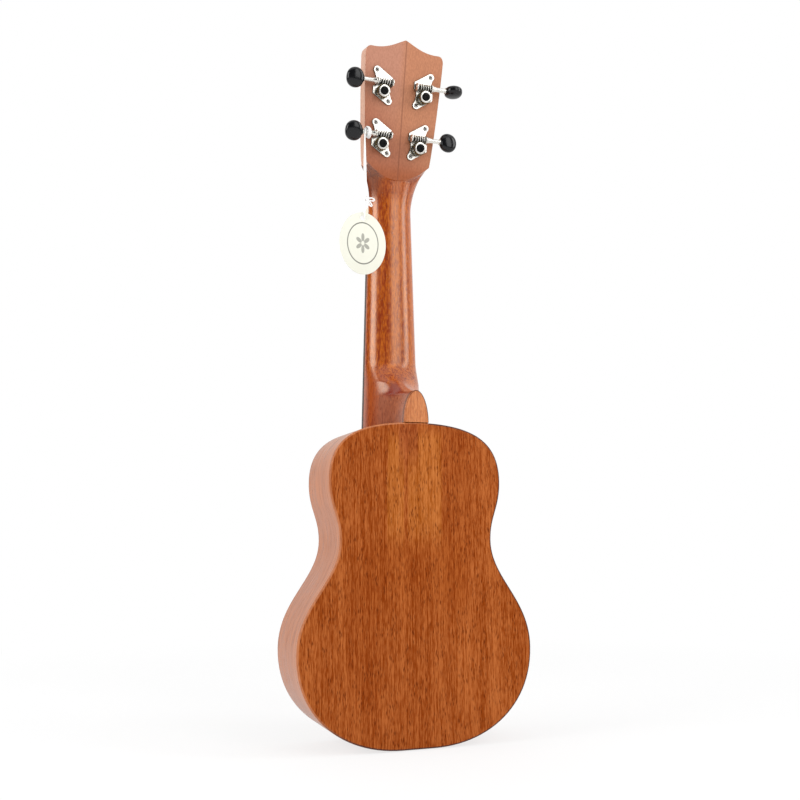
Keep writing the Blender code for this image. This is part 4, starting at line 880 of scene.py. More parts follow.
def neckPiece():
    form, head = neckForm, headForm
    piece = rowsPiece("neck_wood", neckRows())
    body = sheetCutTo("cut", wholeOutline(-soundBox["glue"]), 2 * cutter["deep"])
    combine(piece, settle(body, Matrix.Translation((0, cutter["deep"], 0)) @ standUp))
    combine(piece, headPlate(), "UNION")
    combine(piece, cubeFrom(*form["tenon"]), "UNION")
    shelf = (form["shelfEnd"] - form["nutAt"] - head["thick"] * sine) / cosine
    half, top = cutter["half"], cutter["top"]
    combine(piece, cubeFrom((-half, head["cutFrom"], 0), (half, top, half), headFrame))
    combine(piece, cubeFrom((-half, shelf, -cutter["deep"]), (half, top, -head["thick"]), headFrame))
    for x, y in postSpots.values():
        place = headFrame @ Matrix.Translation((x, y, 0))
        combine(piece, rod(head["postHole"], cutter["through"], place, sides=48))
    softenEdges(piece, head["edge"], rounded, headRim)
    shade(piece, angle=28)
    for face in piece.data.polygons:
        face.material_index = neckPart(face)
    return crisp(piece, lambda face: abs(face.normal.dot(headOut)) > facing and face.material_index == 1)


neckWood = {"deep": (0.220, 0.021, 0.0001), "light": (0.485, 0.110, 0.002),
            "poreColour": (0.11, 0.009, 0.0001), "shares": (0.25, 0.50, 0.25), "ribbon": (90, 5),
            "fibre": (900, 240), "fleck": (600, 40), "drift": 0.003, "sway": 0.0006,
            "softFoot": (0.262, 0.300, 0.04), "pores": (900, 230), "spread": (200, 60), "poreWidth": 0.44,
            "poreDark": 0.55, "gloss": 0.23, "glossVaries": 0.04, "relief": 0.03}
headWood = dict(neckWood, deep=(0.415, 0.163, 0.080), light=(0.500, 0.203, 0.102),
                poreColour=(0.27, 0.10, 0.05), shares=(0.10, 0.60, 0.30), fibre=(1300, 420),
                fleck=(1200, 40), pores=(900, 300), poreDark=0.25, gloss=0.42, glossVaries=0.1, relief=0.05)
# the headstock's side face is paler and pinker than its back: painted sheen
sideWood = dict(headWood, deep=(0.50, 0.27, 0.185), light=(0.60, 0.35, 0.250))
headTones = (  # painted sheen, paler at the treble half's top; painted shade, darker to the foot and darkest over the neck; then the seam
    (0.7, (0.43, 0.195, 0.130), (0.49, 0.230, 0.160), ("x", -4, 6), ("z", 440, 520)),
    (0.8, (0.30, 0.092, 0.046), (0.37, 0.118, 0.060), ("slant", 490, 430)),
    (0.9, (0.28, 0.066, 0.016), (0.35, 0.090, 0.024), ("z", 444, 427)),
    (0.5, (0.16, 0.045, 0.020), (0.16, 0.045, 0.020), ("x", -1.5, -1.0), ("x", -0.1, -0.6)))
neckTones = (  # painted shade on the treble side above the heel, a purplish painted sheen on the heel's flank and a painted highlight on the slope over the cap
    (0.8, (0.23, 0.026, 0.0001), (0.36, 0.055, 0.0002), ("x", 9, 16), ("z", 285, 262)),
    (0.75, (0.24, 0.068, 0.032), (0.36, 0.112, 0.058), ("x", 0, 4), ("y", -18, -4), ("z", 262, 248)),
    (0.55, (0.46, 0.170, 0.100), (0.58, 0.250, 0.160), ("x", 4.0, 2.5), ("z", 253.0, 253.6), ("z", 266, 260)),
    # painted shade in the heel's hollow, and a painted shadow line along the cap
    (0.9, (0.18, 0.006, 0.0001), (0.18, 0.006, 0.0001), ("z", 248.5, 254.5), ("z", 266.5, 260.5), ("x", 3, 5),
     ("x", 17, 12), ("y", -6, 0)),
    (0.8, (0.09, 0.015, 0.004), (0.09, 0.015, 0.004), ("y", 24.5, 26.2), ("z", 256, 252)),
    # painted shade, darker and redder, under the headstock, and a painted shadow at its treble side
    (0.6, (0.20, 0.028, 0.006), (0.40, 0.085, 0.022), ("z", 408, 420)),
    (0.85, (0.09, 0.012, 0.003), (0.15, 0.025, 0.006), ("z", 408, 420), ("x", 6, 18)))
neckGloss = woodFinish("neckGloss", neckWood, tones=neckTones, Specular_IOR_Level=1.0,
                       Specular_Tint=(1.0, 0.87, 0.70))
headSatin = woodFinish("headSatin", headWood, tones=headTones, Specular_IOR_Level=0.25)
headSide = woodFinish("headSide", sideWood, Specular_IOR_Level=0.25)
dressed(neckPiece(), "instrument", "neck_wood", [neckGloss, headSatin, headSide], "neck")


def heelCapPiece():
    form = neckForm
    levels = [form["heelAt"] + form["capLength"] * math.sin(math.pi / 2 * k / form["capSteps"])
              for k in range(form["capSteps"] + 1)]
    right = [Vector((heelHalf(z), max(z, form["heelAt"] + soundBox["glue"]))) for z in levels]
    piece = sheetCutTo("heel_cap_wood", right + mirrored(right), form["capThick"])
    settle(piece, Matrix.Translation((0, halfDepth, 0)) @ standUp)
    rim = sharpWhere(lambda spot: abs(spot.y - halfDepth) < flush)
    foot = form["heelAt"] + form["capSharp"]        # the edge against the back plate stays sharp
    softenEdges(piece, form["capEdge"], rounded,
                lambda edge: rim(edge) and any(end.co.z > foot for end in edge.verts))
    return darkEdged(shade(piece))


capWood = dict(sapele, deep=(0.42, 0.11, 0.018), light=(0.61, 0.212, 0.06), poreDark=0.35, ribbon=(160, 6),
               gloss=0.30)
dressed(heelCapPiece(), "instrument", "body_wood", [woodFinish("capWood", capWood), edgeShadingSapele], "heel_cap")
print("neck made")


# Fretboard, frets, nut, bridge and saddle

board = {"thick": 0.0045, "foot": 0.220, "edge": 0.0004, "frets": 12, "scale": 0.350,
         "crown": (0.0020, 0.0010), "crownSteps": 12, "fretInset": 0.0003, "fretEnd": 0.0004,
         "fretFoot": 0.0002, "dots": (5, 7, 10), "dotRadius": 0.0022, "dotThick": 0.001, "dotProud": 0.0001,
         "dotEdge": 0.0001, "nutEdge": 0.00022, "saddleEdge": 0.0003, "bridgeEdge": 0.0004}
rosewood = {"deep": (0.026, 0.010, 0.005), "light": (0.095, 0.040, 0.020),
            "poreColour": (0.008, 0.004, 0.003), "shares": (0.35, 0.35, 0.30), "ribbon": (220, 8),
            "fibre": (1100, 90), "fleck": (1600, 220), "drift": 0.003, "sway": 0.0004, "pores": (1400, 130),
            "poreWidth": 0.3, "poreDark": 0.7, "gloss": 0.42, "glossVaries": 0.15, "relief": 0.2}
# the dark colour of the metal's painted shade
paintedShadeColour = (0.03, 0.028, 0.025)
boardBack = -halfDepth - soundBox["glue"]
boardFront = boardBack - board["thick"]
fretSeat = boardFront - soundBox["glue"]


def fretAt(number):
    return neckForm["nutAt"] - board["scale"] * (1 - 2 ** (-number / 12))


def boardPiece():
    right = [Vector((boardHalf(z), z)) for z in (board["foot"], neckForm["nutAt"])]
    piece = sheetCutTo("fretboard_wood", right[1:] + mirrored(right) + right[:1], board["thick"])
    settle(piece, Matrix.Translation((0, boardBack, 0)) @ standUp)
    softenEdges(piece, board["edge"], rounded, sharpWhere(lambda spot: spot.y < boardFront + board["edge"]))
    return shade(piece)


# Metal between a tint and its own colour, with painted shade, dark and duller, where its attribute marks
# grooves, slots and edges
metal = {"lines": (9000, 9000, 600), "shares": (0.5, 0.3), "levels": (0.2, 0.7), "tint": 0.82,
         "shadeDull": 0.25}


def metalFinish(name, colour, rough, scratch=0.08, tint=None):
    look, flow, feed = newFinish(name, Metallic=1.0)
    shadeMark = flow.node("Attribute", {"attribute_name": "grime"}, {}, out="Fac")
    cloud = cloudOf(flow, scale=700, detail=3.0)
    lines = objectPlace(flow).stretched(metal["lines"]).noise(detail=2.0)
    cloudShare, lineShare = metal["shares"]
    shadeOf = (cloud * cloudShare + lines * lineShare).ease(*metal["levels"])
    unshaded = shadeOf.blend(tint or scaled(colour, metal["tint"]), colour)
    feed(Base_Color=shadeMark.blend(unshaded, paintedShadeColour),
         Roughness=rough + lines * scratch + cloud * scratch + shadeMark * metal["shadeDull"])
    return look


def setPaintedShade(piece, amount):            # painted shade: amount(point) is 0 on open metal and 1 in a groove in shade
    marks = piece.data.attributes.new("grime", "FLOAT", "POINT")
    for vertex, mark in zip(piece.data.vertices, marks.data):
        mark.value = clamped(amount(vertex.co))


def grimeAt(value, level, unshaded, dark):             # where the painted shade begins and where it is full, in mm above a level
    return (level + unshaded * mm - value) / ((unshaded - dark) * mm)


def fretPiece(number):
    width, height = board["crown"]
    z = fretAt(number)
    half = boardHalf(z) - board["fretInset"]
    crown = arcPoints(width / 2, -height, 0, 180, board["crownSteps"])
    piece = sheetCutTo(f"fret_wire_{number:02d}", crown, 2 * half)
    # the sheet stands in XY: turn it so that its length runs along X
    settle(piece, Matrix(((0, 0, 1, -half), (0, 1, 0, fretSeat), (1, 0, 0, z), (0, 0, 0, 1))))
    outwards(piece)
    end = sharpWhere(lambda spot: abs(abs(spot.x) - half) < flush / 10)
    foot = fretSeat - board["fretFoot"]
    softenEdges(piece, board["fretEnd"], rounded,
                lambda edge: end(edge) and any(tip.co.y < foot for tip in edge.verts))
    return shade(piece, angle=40)


def dotPiece(number):
    z = (fretAt(number) + fretAt(number - 1)) / 2
    y = boardFront + board["dotThick"] / 2 - board["dotProud"]
    piece = rod(board["dotRadius"], board["dotThick"], Matrix.Translation((0, y, z)) @ standUp, sides=32)
    piece.name = piece.data.name = f"fret_marker_{number:02d}"
    softenEdges(piece, board["dotEdge"], eased, isSharp)
    return shade(piece)


fretSteel = metalFinish("fretSteel", (0.72, 0.70, 0.66), rough=0.2)
pearl = cloudFinish("pearl", ((0.62, 0.62, 0.60), (0.82, 0.80, 0.77)), scale=(900, 900, 900), detail=3.0,
                    gloss=0.15, levels=(0.3, 0.7))
bone = cloudFinish("bone", ((0.74, 0.66, 0.50), (0.82, 0.77, 0.65)), scale=(300, 900, 900), detail=4.0,
                   gloss=0.3, levels=(0.3, 0.7), relief=0.08)
darkRosewood = woodFinish("darkRosewood", rosewood)
bridgeRosewood = woodFinish("bridgeRosewood", rosewood, placeOf=crossPlace)
dressed(boardPiece(), "instrument", "dark_wood", [darkRosewood], "fretboard")
for number in range(1, board["frets"] + 1):
    dressed(fretPiece(number), "instrument", "fret_wire", [fretSteel], f"fret_{number:02d}")
for number in board["dots"]:
    dressed(dotPiece(number), "instrument", "bone", [pearl])
for name, node, slot, look in (("nut_bone", "nut", "bone", bone), ("saddle_bone", "saddle", "bone", bone),
                               ("bridge_wood", "bridge", "dark_wood", bridgeRosewood)):
    dressed(softNode(name, node, board[node + "Edge"]), "instrument", slot, [look], node)
print("board and bridge made")


# Strings, wound on their posts

strings = {"diameters": {"g": 0.00062, "c": 0.00092, "e": 0.00081, "a": 0.00064}, "nutSpread": 0.027,
           "saddleSpread": 0.0405, "saddleAt": 0.053, "saddleHalf": 0.0015, "nutClear": 0.0004,
           "nutThick": 0.0052, "action": 0.0026, "endHeight": 0.004, "bridgeRear": 0.0385, "turns": 2.25,
           "turnSteps": 40, "gap": 0.0006, "postWaist": 0.0026, "postGap": 0.0003, "postRise": 0.013}


def stringRoute(name):
    facts = strings
    diameter = facts["diameters"][name]
    share = "gcea".index(name) / 3 - 0.5
    fretTop = fretSeat - board["crown"][1] - diameter / 2
    nut = Vector((share * facts["nutSpread"], fretTop - facts["nutClear"], neckForm["nutAt"]))
    y = mix(nut.y, fretTop - facts["action"], (nut.z - facts["saddleAt"]) / (nut.z - fretAt(12)))
    saddle = Vector((share * facts["saddleSpread"], y, facts["saddleAt"]))
    end = Vector((saddle.x, boardBack - facts["endHeight"], facts["bridgeRear"] + diameter))
    x, y = postSpots[name]
    radius = facts["postWaist"] + facts["postGap"] + diameter / 2
    pitch = diameter + facts["gap"]
    first = -headForm["thick"] - facts["postRise"] / 2 - pitch * facts["turns"] / 2
    winding = []
    for turns in (k / facts["turnSteps"] for k in range(round(facts["turnSteps"] * facts["turns"]) + 1)):
        angle = math.pi - 2 * math.pi * turns
        out, up = radius * math.cos(angle), radius * math.sin(angle)
        winding.append(headFrame @ Vector((x + math.copysign(out, out * x), y + up, first + pitch * turns)))
    before, after = Vector((0, 0, -facts["saddleHalf"])), Vector((0, 0, facts["nutThick"]))
    return [end, saddle + before, saddle, nut, nut + after, *winding]


nylon = cloudFinish("nylon", ((0.72, 0.69, 0.62), (0.84, 0.82, 0.78)), scale=(2500, 2500, 120), detail=2.0,
                    gloss=0.18, IOR=1.53, Transmission_Weight=0.25)
for name, diameter in strings["diameters"].items():
    line = madeMesh(tubeAlong(f"string_line_{name}", stringRoute(name), diameter, sides=3))
    dressed(line, "instrument", "nylon", [nylon], f"string_{name}")
print("strings made")


# Tuners: made once about the post's axis, x outward, y up the headstock, z out of its back.
# The turned profiles and the worm's plain stretches are (radius, rise) in mm from a level

tuner = {"plateAt": 0.0002, "plateThick": 0.0012, "plateEdge": 0.00022, "lobe": 0.0029,
         "lobeTurn": (-50, 122), "lobeSteps": 18, "centre": (-0.0003, 0.0052),
         "screwReach": (0.0053, 0.0115), "corner": (-0.0079, 0.0066), "notchTop": 0.0056,
         "notchFoot": 0.0002, "notchSlope": 0.0010, "earThick": 0.0010, "earHalf": 0.0030,
         "earEdge": 0.00018, "earSteps": 20, "earInside": 0.0013, "earGap": 0.0003, "wormAxis": 0.0072,
         "wormHeight": 0.0050, "teeth": 16, "gearTip": 0.0053, "gearRoot": 0.0042, "gearPitch": 0.0049,
         "toothRoot": 0.0005, "toothTip": 0.000225, "toothEase": 0.0002, "gearRows": 6, "gearThick": 0.0036,
         "rimThick": 0.0008, "rimDark": 0.0031, "screwGap": 0.0002, "crossTurn": 35,
         "plateCross": (0.0011, 0.0005), "gearCross": (0.0016, 0.0007), "slotHalf": 0.00026,
         "slotDark": 0.0006, "eyelet": 0.0008, "eyeletTool": 0.02, "eyeletAt": 0.0039, "wormRoot": 0.0016,
         "wormTip": 0.0027, "threadTurns": (-3, 2), "threadSpare": 0.0005, "threadFade": 0.5,
         "crestHalf": 0.0002, "crestSlope": 0.0003, "threadSteps": 26, "wormAround": 48, "buttonAt": 0.0168,
         "button": (0.0136, 0.0154, 0.0084), "buttonAround": 44, "buttonSteps": 36, "buttonFrom": 3,
         "buttonLeast": 0.0002, "buttonCrowd": 1.05, "buttonFull": (0.8, 0.55), "buttonPower": (2.0, 2.4),
         "powerBy": 8, "buttonTurns": {"g": -18, "c": 78, "e": 4, "a": 12}}
profiles = {"plateScrew": ((0, -0.4), (1.7, -0.4), (1.7, 0.1), (1.6, 0.35), (1.3, 0.6), (0.8, 0.76),
                           (0, 0.8)),
            "gearScrew": ((0, -3), (1.1, -3), (1.1, 0), (3.2, 0), (3.2, 0.5), (3, 0.9), (2.6, 1.2),
                          (2.2, 1.3), (0, 1.3)),
            "rim": ((1.2, 0), (3, 0), (3.4, 0), (4.3, 0), (4.6, -0.12), (4.7, -0.4), (4.7, -1), (1.2, -1),
                    (1.2, 0)),
            "postTop": ((0, 0), (2.35, 0), (2.8, 0.2), (3, 0.6), (3, 2), (2.8, 2.7), (2.6, 3.3)),
            "postWaist": ((2.6, -2.5), (3, -1.4)),
            "postCollar": ((3, 0.3), (4.1, 0.3)),
            "postHead": ((4.1, 0.4), (0, 0.4)),
            "bushing": ((3.3, 7.2), (3.3, -1.2), (4.4, -1.2), (4.9, -1), (5.2, -0.6), (5.3, -0.2), (5.3, 0),
                        (4, 0), (4, 7.2), (3.3, 7.2)),
            "wormInner": ((1.1, 0), (1.5, 0.3)),
            "wormShoulder": ((1.5, 0), (2.4, 0.01), (2.5, 0.8), (2.2, 1.4), (1.9, 2.2), (1.78, 4)),
            "wormOuter": ((1.72, -0.8), (2.1, -0.7), (2.3, -0.5), (2.3, -0.2), (2.1, -0.08), (1.5, -0.06),
                          (1.5, 6.7)),
            "buttonSocket": ((1.8, 6.6), (1.8, 0), (2.4, 0), (2.6, 0.1))}
lead = 2 * math.pi * tuner["gearPitch"] / tuner["teeth"]
firstTurn, lastTurn = tuner["threadTurns"]
threadStart, threadEnd = firstTurn * lead - tuner["threadSpare"], lastTurn * lead + tuner["threadSpare"]
innerEar, outerEar = threadStart - tuner["earInside"], threadEnd + tuner["earGap"]
plateTop = tuner["plateAt"] + tuner["plateThick"]
gearLow, gearHigh = tuner["wormHeight"] - tuner["gearThick"] / 2, tuner["wormHeight"] + tuner["gearThick"] / 2
rimTop = gearHigh + tuner["rimThick"]
wormPlace = Vector((0, tuner["wormAxis"], tuner["wormHeight"]))


def plateOutline():
    centre, lobe, corner = Vector(tuner["centre"]), Vector(tuner["screwReach"]), Vector(tuner["corner"])
    notch = outerEar + tuner["earThick"] - centre.x
    radius, foot = tuner["lobe"], tuner["notchFoot"]
    half = [lobe + spot for spot in arcPoints(radius, radius, *tuner["lobeTurn"], tuner["lobeSteps"])]
    half += [corner, Vector((corner.x, foot + tuner["notchSlope"])), Vector((-notch, foot)),
             Vector((-notch, -tuner["notchTop"]))]
    return [centre + spot for spot in half] + [centre - spot for spot in half]


def earPiece(low):
    half, height = tuner["earHalf"], tuner["wormHeight"]
    foot = tuner["plateAt"] + tuner["plateThick"] / 2 - height
    arch = [Vector((-half, foot)), *arcPoints(half, half, 180, 0, tuner["earSteps"]), Vector((half, foot))]
    ear = sheetCutTo("ear", arch, tuner["earThick"])
    # the sheet's x becomes y, its y becomes z and its thickness x
    settle(ear, Matrix(((0, 0, 1, low), (1, 0, 0, tuner["wormAxis"]), (0, 1, 0, height), (0, 0, 0, 1))))
    softenEdges(ear, tuner["earEdge"], eased, isSharp)
    # painted shade at the ear's foot against the plate
    setPaintedShade(ear, lambda spot: grimeAt(spot.z, plateTop, 1.2, -0.4))
    return ear


def tunerPlatePiece():
    sheet = sheetCutTo("tuner_plate", plateOutline(), tuner["plateThick"])
    settle(sheet, Matrix.Translation((0, 0, tuner["plateAt"])))
    softenEdges(sheet, tuner["plateEdge"], rounded, sharpWhere(lambda spot: spot.z > plateTop - flush))
    # painted shade on the plate's rim and side
    setPaintedShade(sheet, lambda spot: grimeAt(spot.z, plateTop, -0.03, -0.15))
    piece = joined([sheet, earPiece(innerEar), earPiece(outerEar)])
    return crisp(shade(piece), lambda face: face.normal.z > facing)


def crossCut(piece, reach, width, top):             # as deep as it is wide
    for turn in (0, 90):
        across = Matrix.Rotation(math.radians(turn + tuner["crossTurn"]), 4, "Z")
        combine(piece, cubeFrom((-reach, -width / 2, top - width), (reach, width / 2, top + width), across))


def inCross(spot, half):
    flat = Matrix.Rotation(math.radians(-tuner["crossTurn"]), 2) @ spot.xy
    return min(abs(flat.x), abs(flat.y)) < half


def plateScrewPiece():
    profile = above(plateTop, profiles["plateScrew"])
    piece = turnedPiece("plate_screw", profile, steps=32)
    crossCut(piece, *tuner["plateCross"], profile[-1][1])

    # painted shade in the cross slot and round the head's foot
    def grime(spot):
        slot = inCross(spot, tuner["slotHalf"]) and spot.z < plateTop + tuner["slotDark"]
        return 1.0 if slot else grimeAt(spot.z, plateTop, 0.4, 0.1)
    setPaintedShade(piece, grime)
    return shade(piece)


def gearRow(height, ease):
    lean = tuner["wormAxis"] - tuner["gearPitch"]
    twist = lead / (2 * math.pi * lean * tuner["gearPitch"]) * (height - tuner["wormHeight"])
    root, tip = tuner["toothRoot"] / tuner["gearRoot"], tuner["toothTip"] / tuner["gearTip"]
    low, high = tuner["gearRoot"], tuner["gearTip"] - ease
    row = []
    for tooth in range(tuner["teeth"]):
        middle = math.pi / 2 + twist + 2 * math.pi * (tooth + 0.5) / tuner["teeth"]
        for radius, turn in ((low, -root), (high, -tip), (high, tip), (low, root)):
            row.append((radius * math.cos(middle + turn), radius * math.sin(middle + turn), height))
    return row


def gearPiece():
    steps = tuner["gearRows"]
    levels = [mix(gearLow, gearHigh, k / steps) for k in range(steps + 1)]
    eases = [tuner["toothEase"], *[0.0] * (steps - 1), tuner["toothEase"]]
    gear = rowsPiece("gear", [gearRow(height, ease) for height, ease in zip(levels, eases)])
    rim = turnedPiece("rim", above(rimTop, profiles["rim"]), steps=48)
    top = -headForm["thick"] - strings["postRise"]
    stages = ((top, "postTop"), (-headForm["thick"], "postWaist"), (plateTop, "postCollar"),
              (gearLow, "postHead"))
    profile = [spot for level, key in stages for spot in above(level, profiles[key])]
    post = turnedPiece("post", profile, steps=40)
    across = Matrix.Translation((0, 0, top + tuner["eyeletAt"])) @ Matrix.Rotation(math.radians(90), 4, "Y")
    combine(post, rod(tuner["eyelet"], tuner["eyeletTool"], across, sides=24))
    # painted shade between the teeth, and on the rim round the screw
    setPaintedShade(gear, lambda spot: grimeAt(spot.xy.length, tuner["gearTip"], -0.2, -1.1))
    setPaintedShade(rim, lambda spot: 1.0 if spot.xy.length < tuner["rimDark"]
             else grimeAt(spot.z, rimTop, -0.3, -0.6))
    setPaintedShade(post, lambda spot: 0.0)
    for part, index in ((gear, 0), (rim, 1), (post, 1)):
        part.data.materials.append(gearBrass)
        part.data.materials.append(nickel)
        for face in part.data.polygons:
            face.material_index = index
    return shade(joined([gear, rim, post]))


def gearScrewPiece():
    profile = above(rimTop + tuner["screwGap"], profiles["gearScrew"])
    piece = turnedPiece("gear_screw", profile, steps=40)
    crossCut(piece, *tuner["gearCross"], profile[-1][1])
    return shade(piece, angle=30)


def threadRadius(x, angle):
    root = tuner["wormRoot"]
    along = round(x / lead - angle) + angle
    if not firstTurn <= along <= lastTurn:
        return root
    tip = mix(root, tuner["wormTip"], clamped(min(along - firstTurn, lastTurn - along) / tuner["threadFade"]))
    return mix(tip, root, clamped((abs(x - along * lead) - tuner["crestHalf"]) / tuner["crestSlope"]))


def wormPiece():
    around = tuner["wormAround"]
    steps = round((threadEnd - threadStart) / lead * tuner["threadSteps"])
    inner, shoulder = innerEar - tuner["earGap"], outerEar + tuner["earThick"] + tuner["earGap"]
    stretches = above(inner, profiles["wormInner"]) + above(threadStart - flush, [(1.5, 0)])
    stretches += [(None, mix(threadStart, threadEnd, k / steps)) for k in range(steps + 1)]
    stretches += above(threadEnd + flush, [(1.5, 0)]) + above(shoulder, profiles["wormShoulder"])
    stretches += above(tuner["buttonAt"], profiles["wormOuter"])
    rows = []
    for plain, x in stretches:
        row = []
        for share in (i / around for i in range(around)):
            radius = plain or threadRadius(x, share)
            turn = math.pi + 2 * math.pi * share
            row.append((x, radius * math.cos(turn), radius * math.sin(turn)))
        rows.append(row)
    piece = rowsPiece("worm", rows)
    # painted shade in the roots of the thread
    setPaintedShade(piece, lambda spot: grimeAt(spot.yz.length, tuner["wormTip"], -0.7, -1.0)
             if threadStart < spot.x < threadEnd else 0.0)
    return shade(piece, angle=40)


def buttonRow(x, wide, deep, power):
    points = []
    for spot in arcPoints(1, 1, 0, 360, tuner["buttonAround"])[:-1]:
        grow = (abs(spot.x) ** power + abs(spot.y) ** power) ** (-1 / power)
        points.append((x, spot.x * grow * wide, spot.y * grow * deep))
    return points


def buttonPiece():
    length, width, thick = tuner["button"]
    at, steps, least = tuner["buttonAt"], tuner["buttonSteps"], tuner["buttonLeast"]
    wideFull, deepFull = tuner["buttonFull"]
    rows = [buttonRow(x, radius, radius, 2) for radius, x in above(at, profiles["buttonSocket"])]
    for k in range(tuner["buttonFrom"], steps):
        turn = math.pi * (k / steps) ** tuner["buttonCrowd"]
        wide = max(least, width / 2 * math.sin(turn) ** wideFull)
        deep = max(least, thick / 2 * math.sin(turn) ** deepFull)
        power = mix(*tuner["buttonPower"], clamped(k / tuner["powerBy"]))
        rows.append(buttonRow(at + length * (1 - math.cos(turn)) / 2, wide, deep, power))
    return shade(rowsPiece("button", rows), angle=50)


def bushingPiece():
    profile = above(-headForm["thick"] - soundBox["glue"], profiles["bushing"])
    return shade(turnedPiece("bushing", profile, steps=48))


def blackFinish(name, colour, gloss, shine):
    look, flow, feed = newFinish(name, Specular_IOR_Level=shine)
    cloud = cloudOf(flow, scale=500, detail=3.0)
    fine = cloudOf(flow, scale=6000, detail=1.0)
    feed(Base_Color=cloud.blend(scaled(colour, 0.7), scaled(colour, 1.3)),
         Roughness=gloss + fine * 0.06 + cloud * 0.05, Normal=cloud.bumps(strength=0.02))
    return look


nickel = metalFinish("nickel", (0.88, 0.86, 0.80), rough=0.20)
gearBrass = metalFinish("gearBrass", (0.44, 0.35, 0.12), rough=0.28, scratch=0.15, tint=(0.20, 0.15, 0.04))
screwSteel = metalFinish("screwSteel", (0.55, 0.53, 0.50), rough=0.24, scratch=0.1)
blackButton = blackFinish("blackButton", (0.005, 0.005, 0.006), gloss=0.13, shine=0.38)
blackScrew = blackFinish("blackScrew", (0.004, 0.004, 0.004), gloss=0.30, shine=0.12)

mirror = Matrix.Scale(-1, 4, (1, 0, 0))
# each kind of piece: its maker, body, slot, finishes and node; a body of the tuner's own ends in _
makers = (("plate", tunerPlatePiece, "instrument", "nickel", [nickel], "plate"),
          ("gear", gearPiece, "post_", "gear_metal", [gearBrass, nickel], "gear_post"),
          ("gear_screw", gearScrewPiece, "post_", "black_screw", [blackScrew], "gear_screw"),
          ("bushing", bushingPiece, "instrument", "nickel", [nickel], "bushing"),
          ("worm", wormPiece, "worm_", "nickel", [nickel], "worm"),
          ("button", buttonPiece, "worm_", "button", [blackButton], "button"))
for kind, make, body, slot, looks, node in makers:
    model = make()
    for name, (x, y) in postSpots.items():
        place = headFrame @ Matrix.Translation((x, y, 0))
        if body == "worm_":
            place = place @ Matrix.Translation(wormPlace)
        if kind == "button":
            place = place @ Matrix.Rotation(math.radians(tuner["buttonTurns"][name]), 4, "X")
        piece = twin(model, f"tuner_{kind}_{name}", place @ mirror if x < 0 else place)
        dressed(piece, body + name if body.endswith("_") else body, slot, looks, f"tuner_{name}_{node}")
    bpy.data.objects.remove(model, do_unlink=True)

model = plateScrewPiece()
for name, (x, y) in postSpots.items():
    for side, end in ((-1, "lower"), (1, "upper")):
        spot = Vector(tuner["centre"]) + side * Vector(tuner["screwReach"])
        place = headFrame @ Matrix.Translation((x, y, 0)) @ (mirror if x < 0 else Matrix.Identity(4))
        piece = twin(model, f"tuner_plate_screw_{name}_{end}", place @ Matrix.Translation((*spot, 0)))
        dressed(piece, "instrument", "nickel", [screwSteel])
bpy.data.objects.remove(model, do_unlink=True)
print("tuners made")


# Hang tag: an oval card with a printed ring and a plain ornament, in shares of the card's half size

tag = {"width": 0.037, "height": 0.049, "thick": 0.0005, "edge": 0.0001, "drop": 0.065, "shift": 0.0018,
       "steps": 96, "eye": 0.002, "eyeTool": 0.01, "eyeInset": 0.0045, "ring": 0.66, "ringWidth": 0.028,
       "ringInk": 0.8, "lobes": 3, "petal": 0.26, "petalFoot": 0.06, "petalBlur": 0.012, "heart": 0.07,
       "heartBlur": 0.01, "flowerInk": 0.55, "card": (0.78, 0.775, 0.675), "ink": (0.05, 0.05, 0.045)}
tagMiddle = shaftSpot + Vector((tag["shift"], 0, -tag["drop"] - tag["height"] / 2))


def cardFinish():
    look, flow, feed = newFinish("tagCard", Specular_IOR_Level=0.2)
    size = Vector((2 / tag["width"], 0, 2 / tag["height"]))
    centred = objectPlace(flow).stretched(size, shift=-tagMiddle * size)
    radius = centred.length()
    x, _, z = centred.axes()
    ring = abs(radius - tag["ring"]).ease(tag["ringWidth"], tag["ringWidth"] * 0.4)
    petals = abs(flow.sum("SINE", flow.sum("ARCTAN2", z, x) * tag["lobes"])) * tag["petal"]
    flower = (radius - petals - tag["petalFoot"]).ease(tag["petalBlur"], -tag["petalBlur"])
    flower = flower * (radius - tag["heart"]).ease(-tag["heartBlur"], tag["heartBlur"])
    fibre = cloudOf(flow, scale=2500, detail=4.0)
    colour = fibre.blend(scaled(tag["card"], 0.95), tag["card"])
    for mark, ink in ((ring, tag["ringInk"]), (flower, tag["flowerInk"])):
        colour = (mark * ink).blend(colour, tag["ink"])
    feed(Base_Color=colour, Roughness=0.62 + fibre * 0.2, Normal=fibre.bumps(strength=0.1, depth=0.0001))
    return look


def tagPiece():
    oval = arcPoints(tag["width"] / 2, tag["height"] / 2, 0, 360, tag["steps"])[:-1]
    piece = sheetCutTo("tag_card", oval, tag["thick"])
    settle(piece, Matrix.Translation(tagMiddle + Vector((0, tag["thick"] / 2, 0))) @ standUp)
    eyeAt = (tagMiddle.x, tagMiddle.y, shaftSpot.z - tag["drop"] - tag["eyeInset"])
    combine(piece, rod(tag["eye"], tag["eyeTool"], Matrix.Translation(eyeAt) @ standUp, sides=32))
    softenEdges(piece, tag["edge"], eased, isSharp)
    return shade(piece)


tagCard = dressed(tagPiece(), "tag", "tag_card", [cardFinish()], "hang_tag")
round(curveLength(route), 4)
print("hang tag made")


# Wood inside the sound box keeps its CAD shape

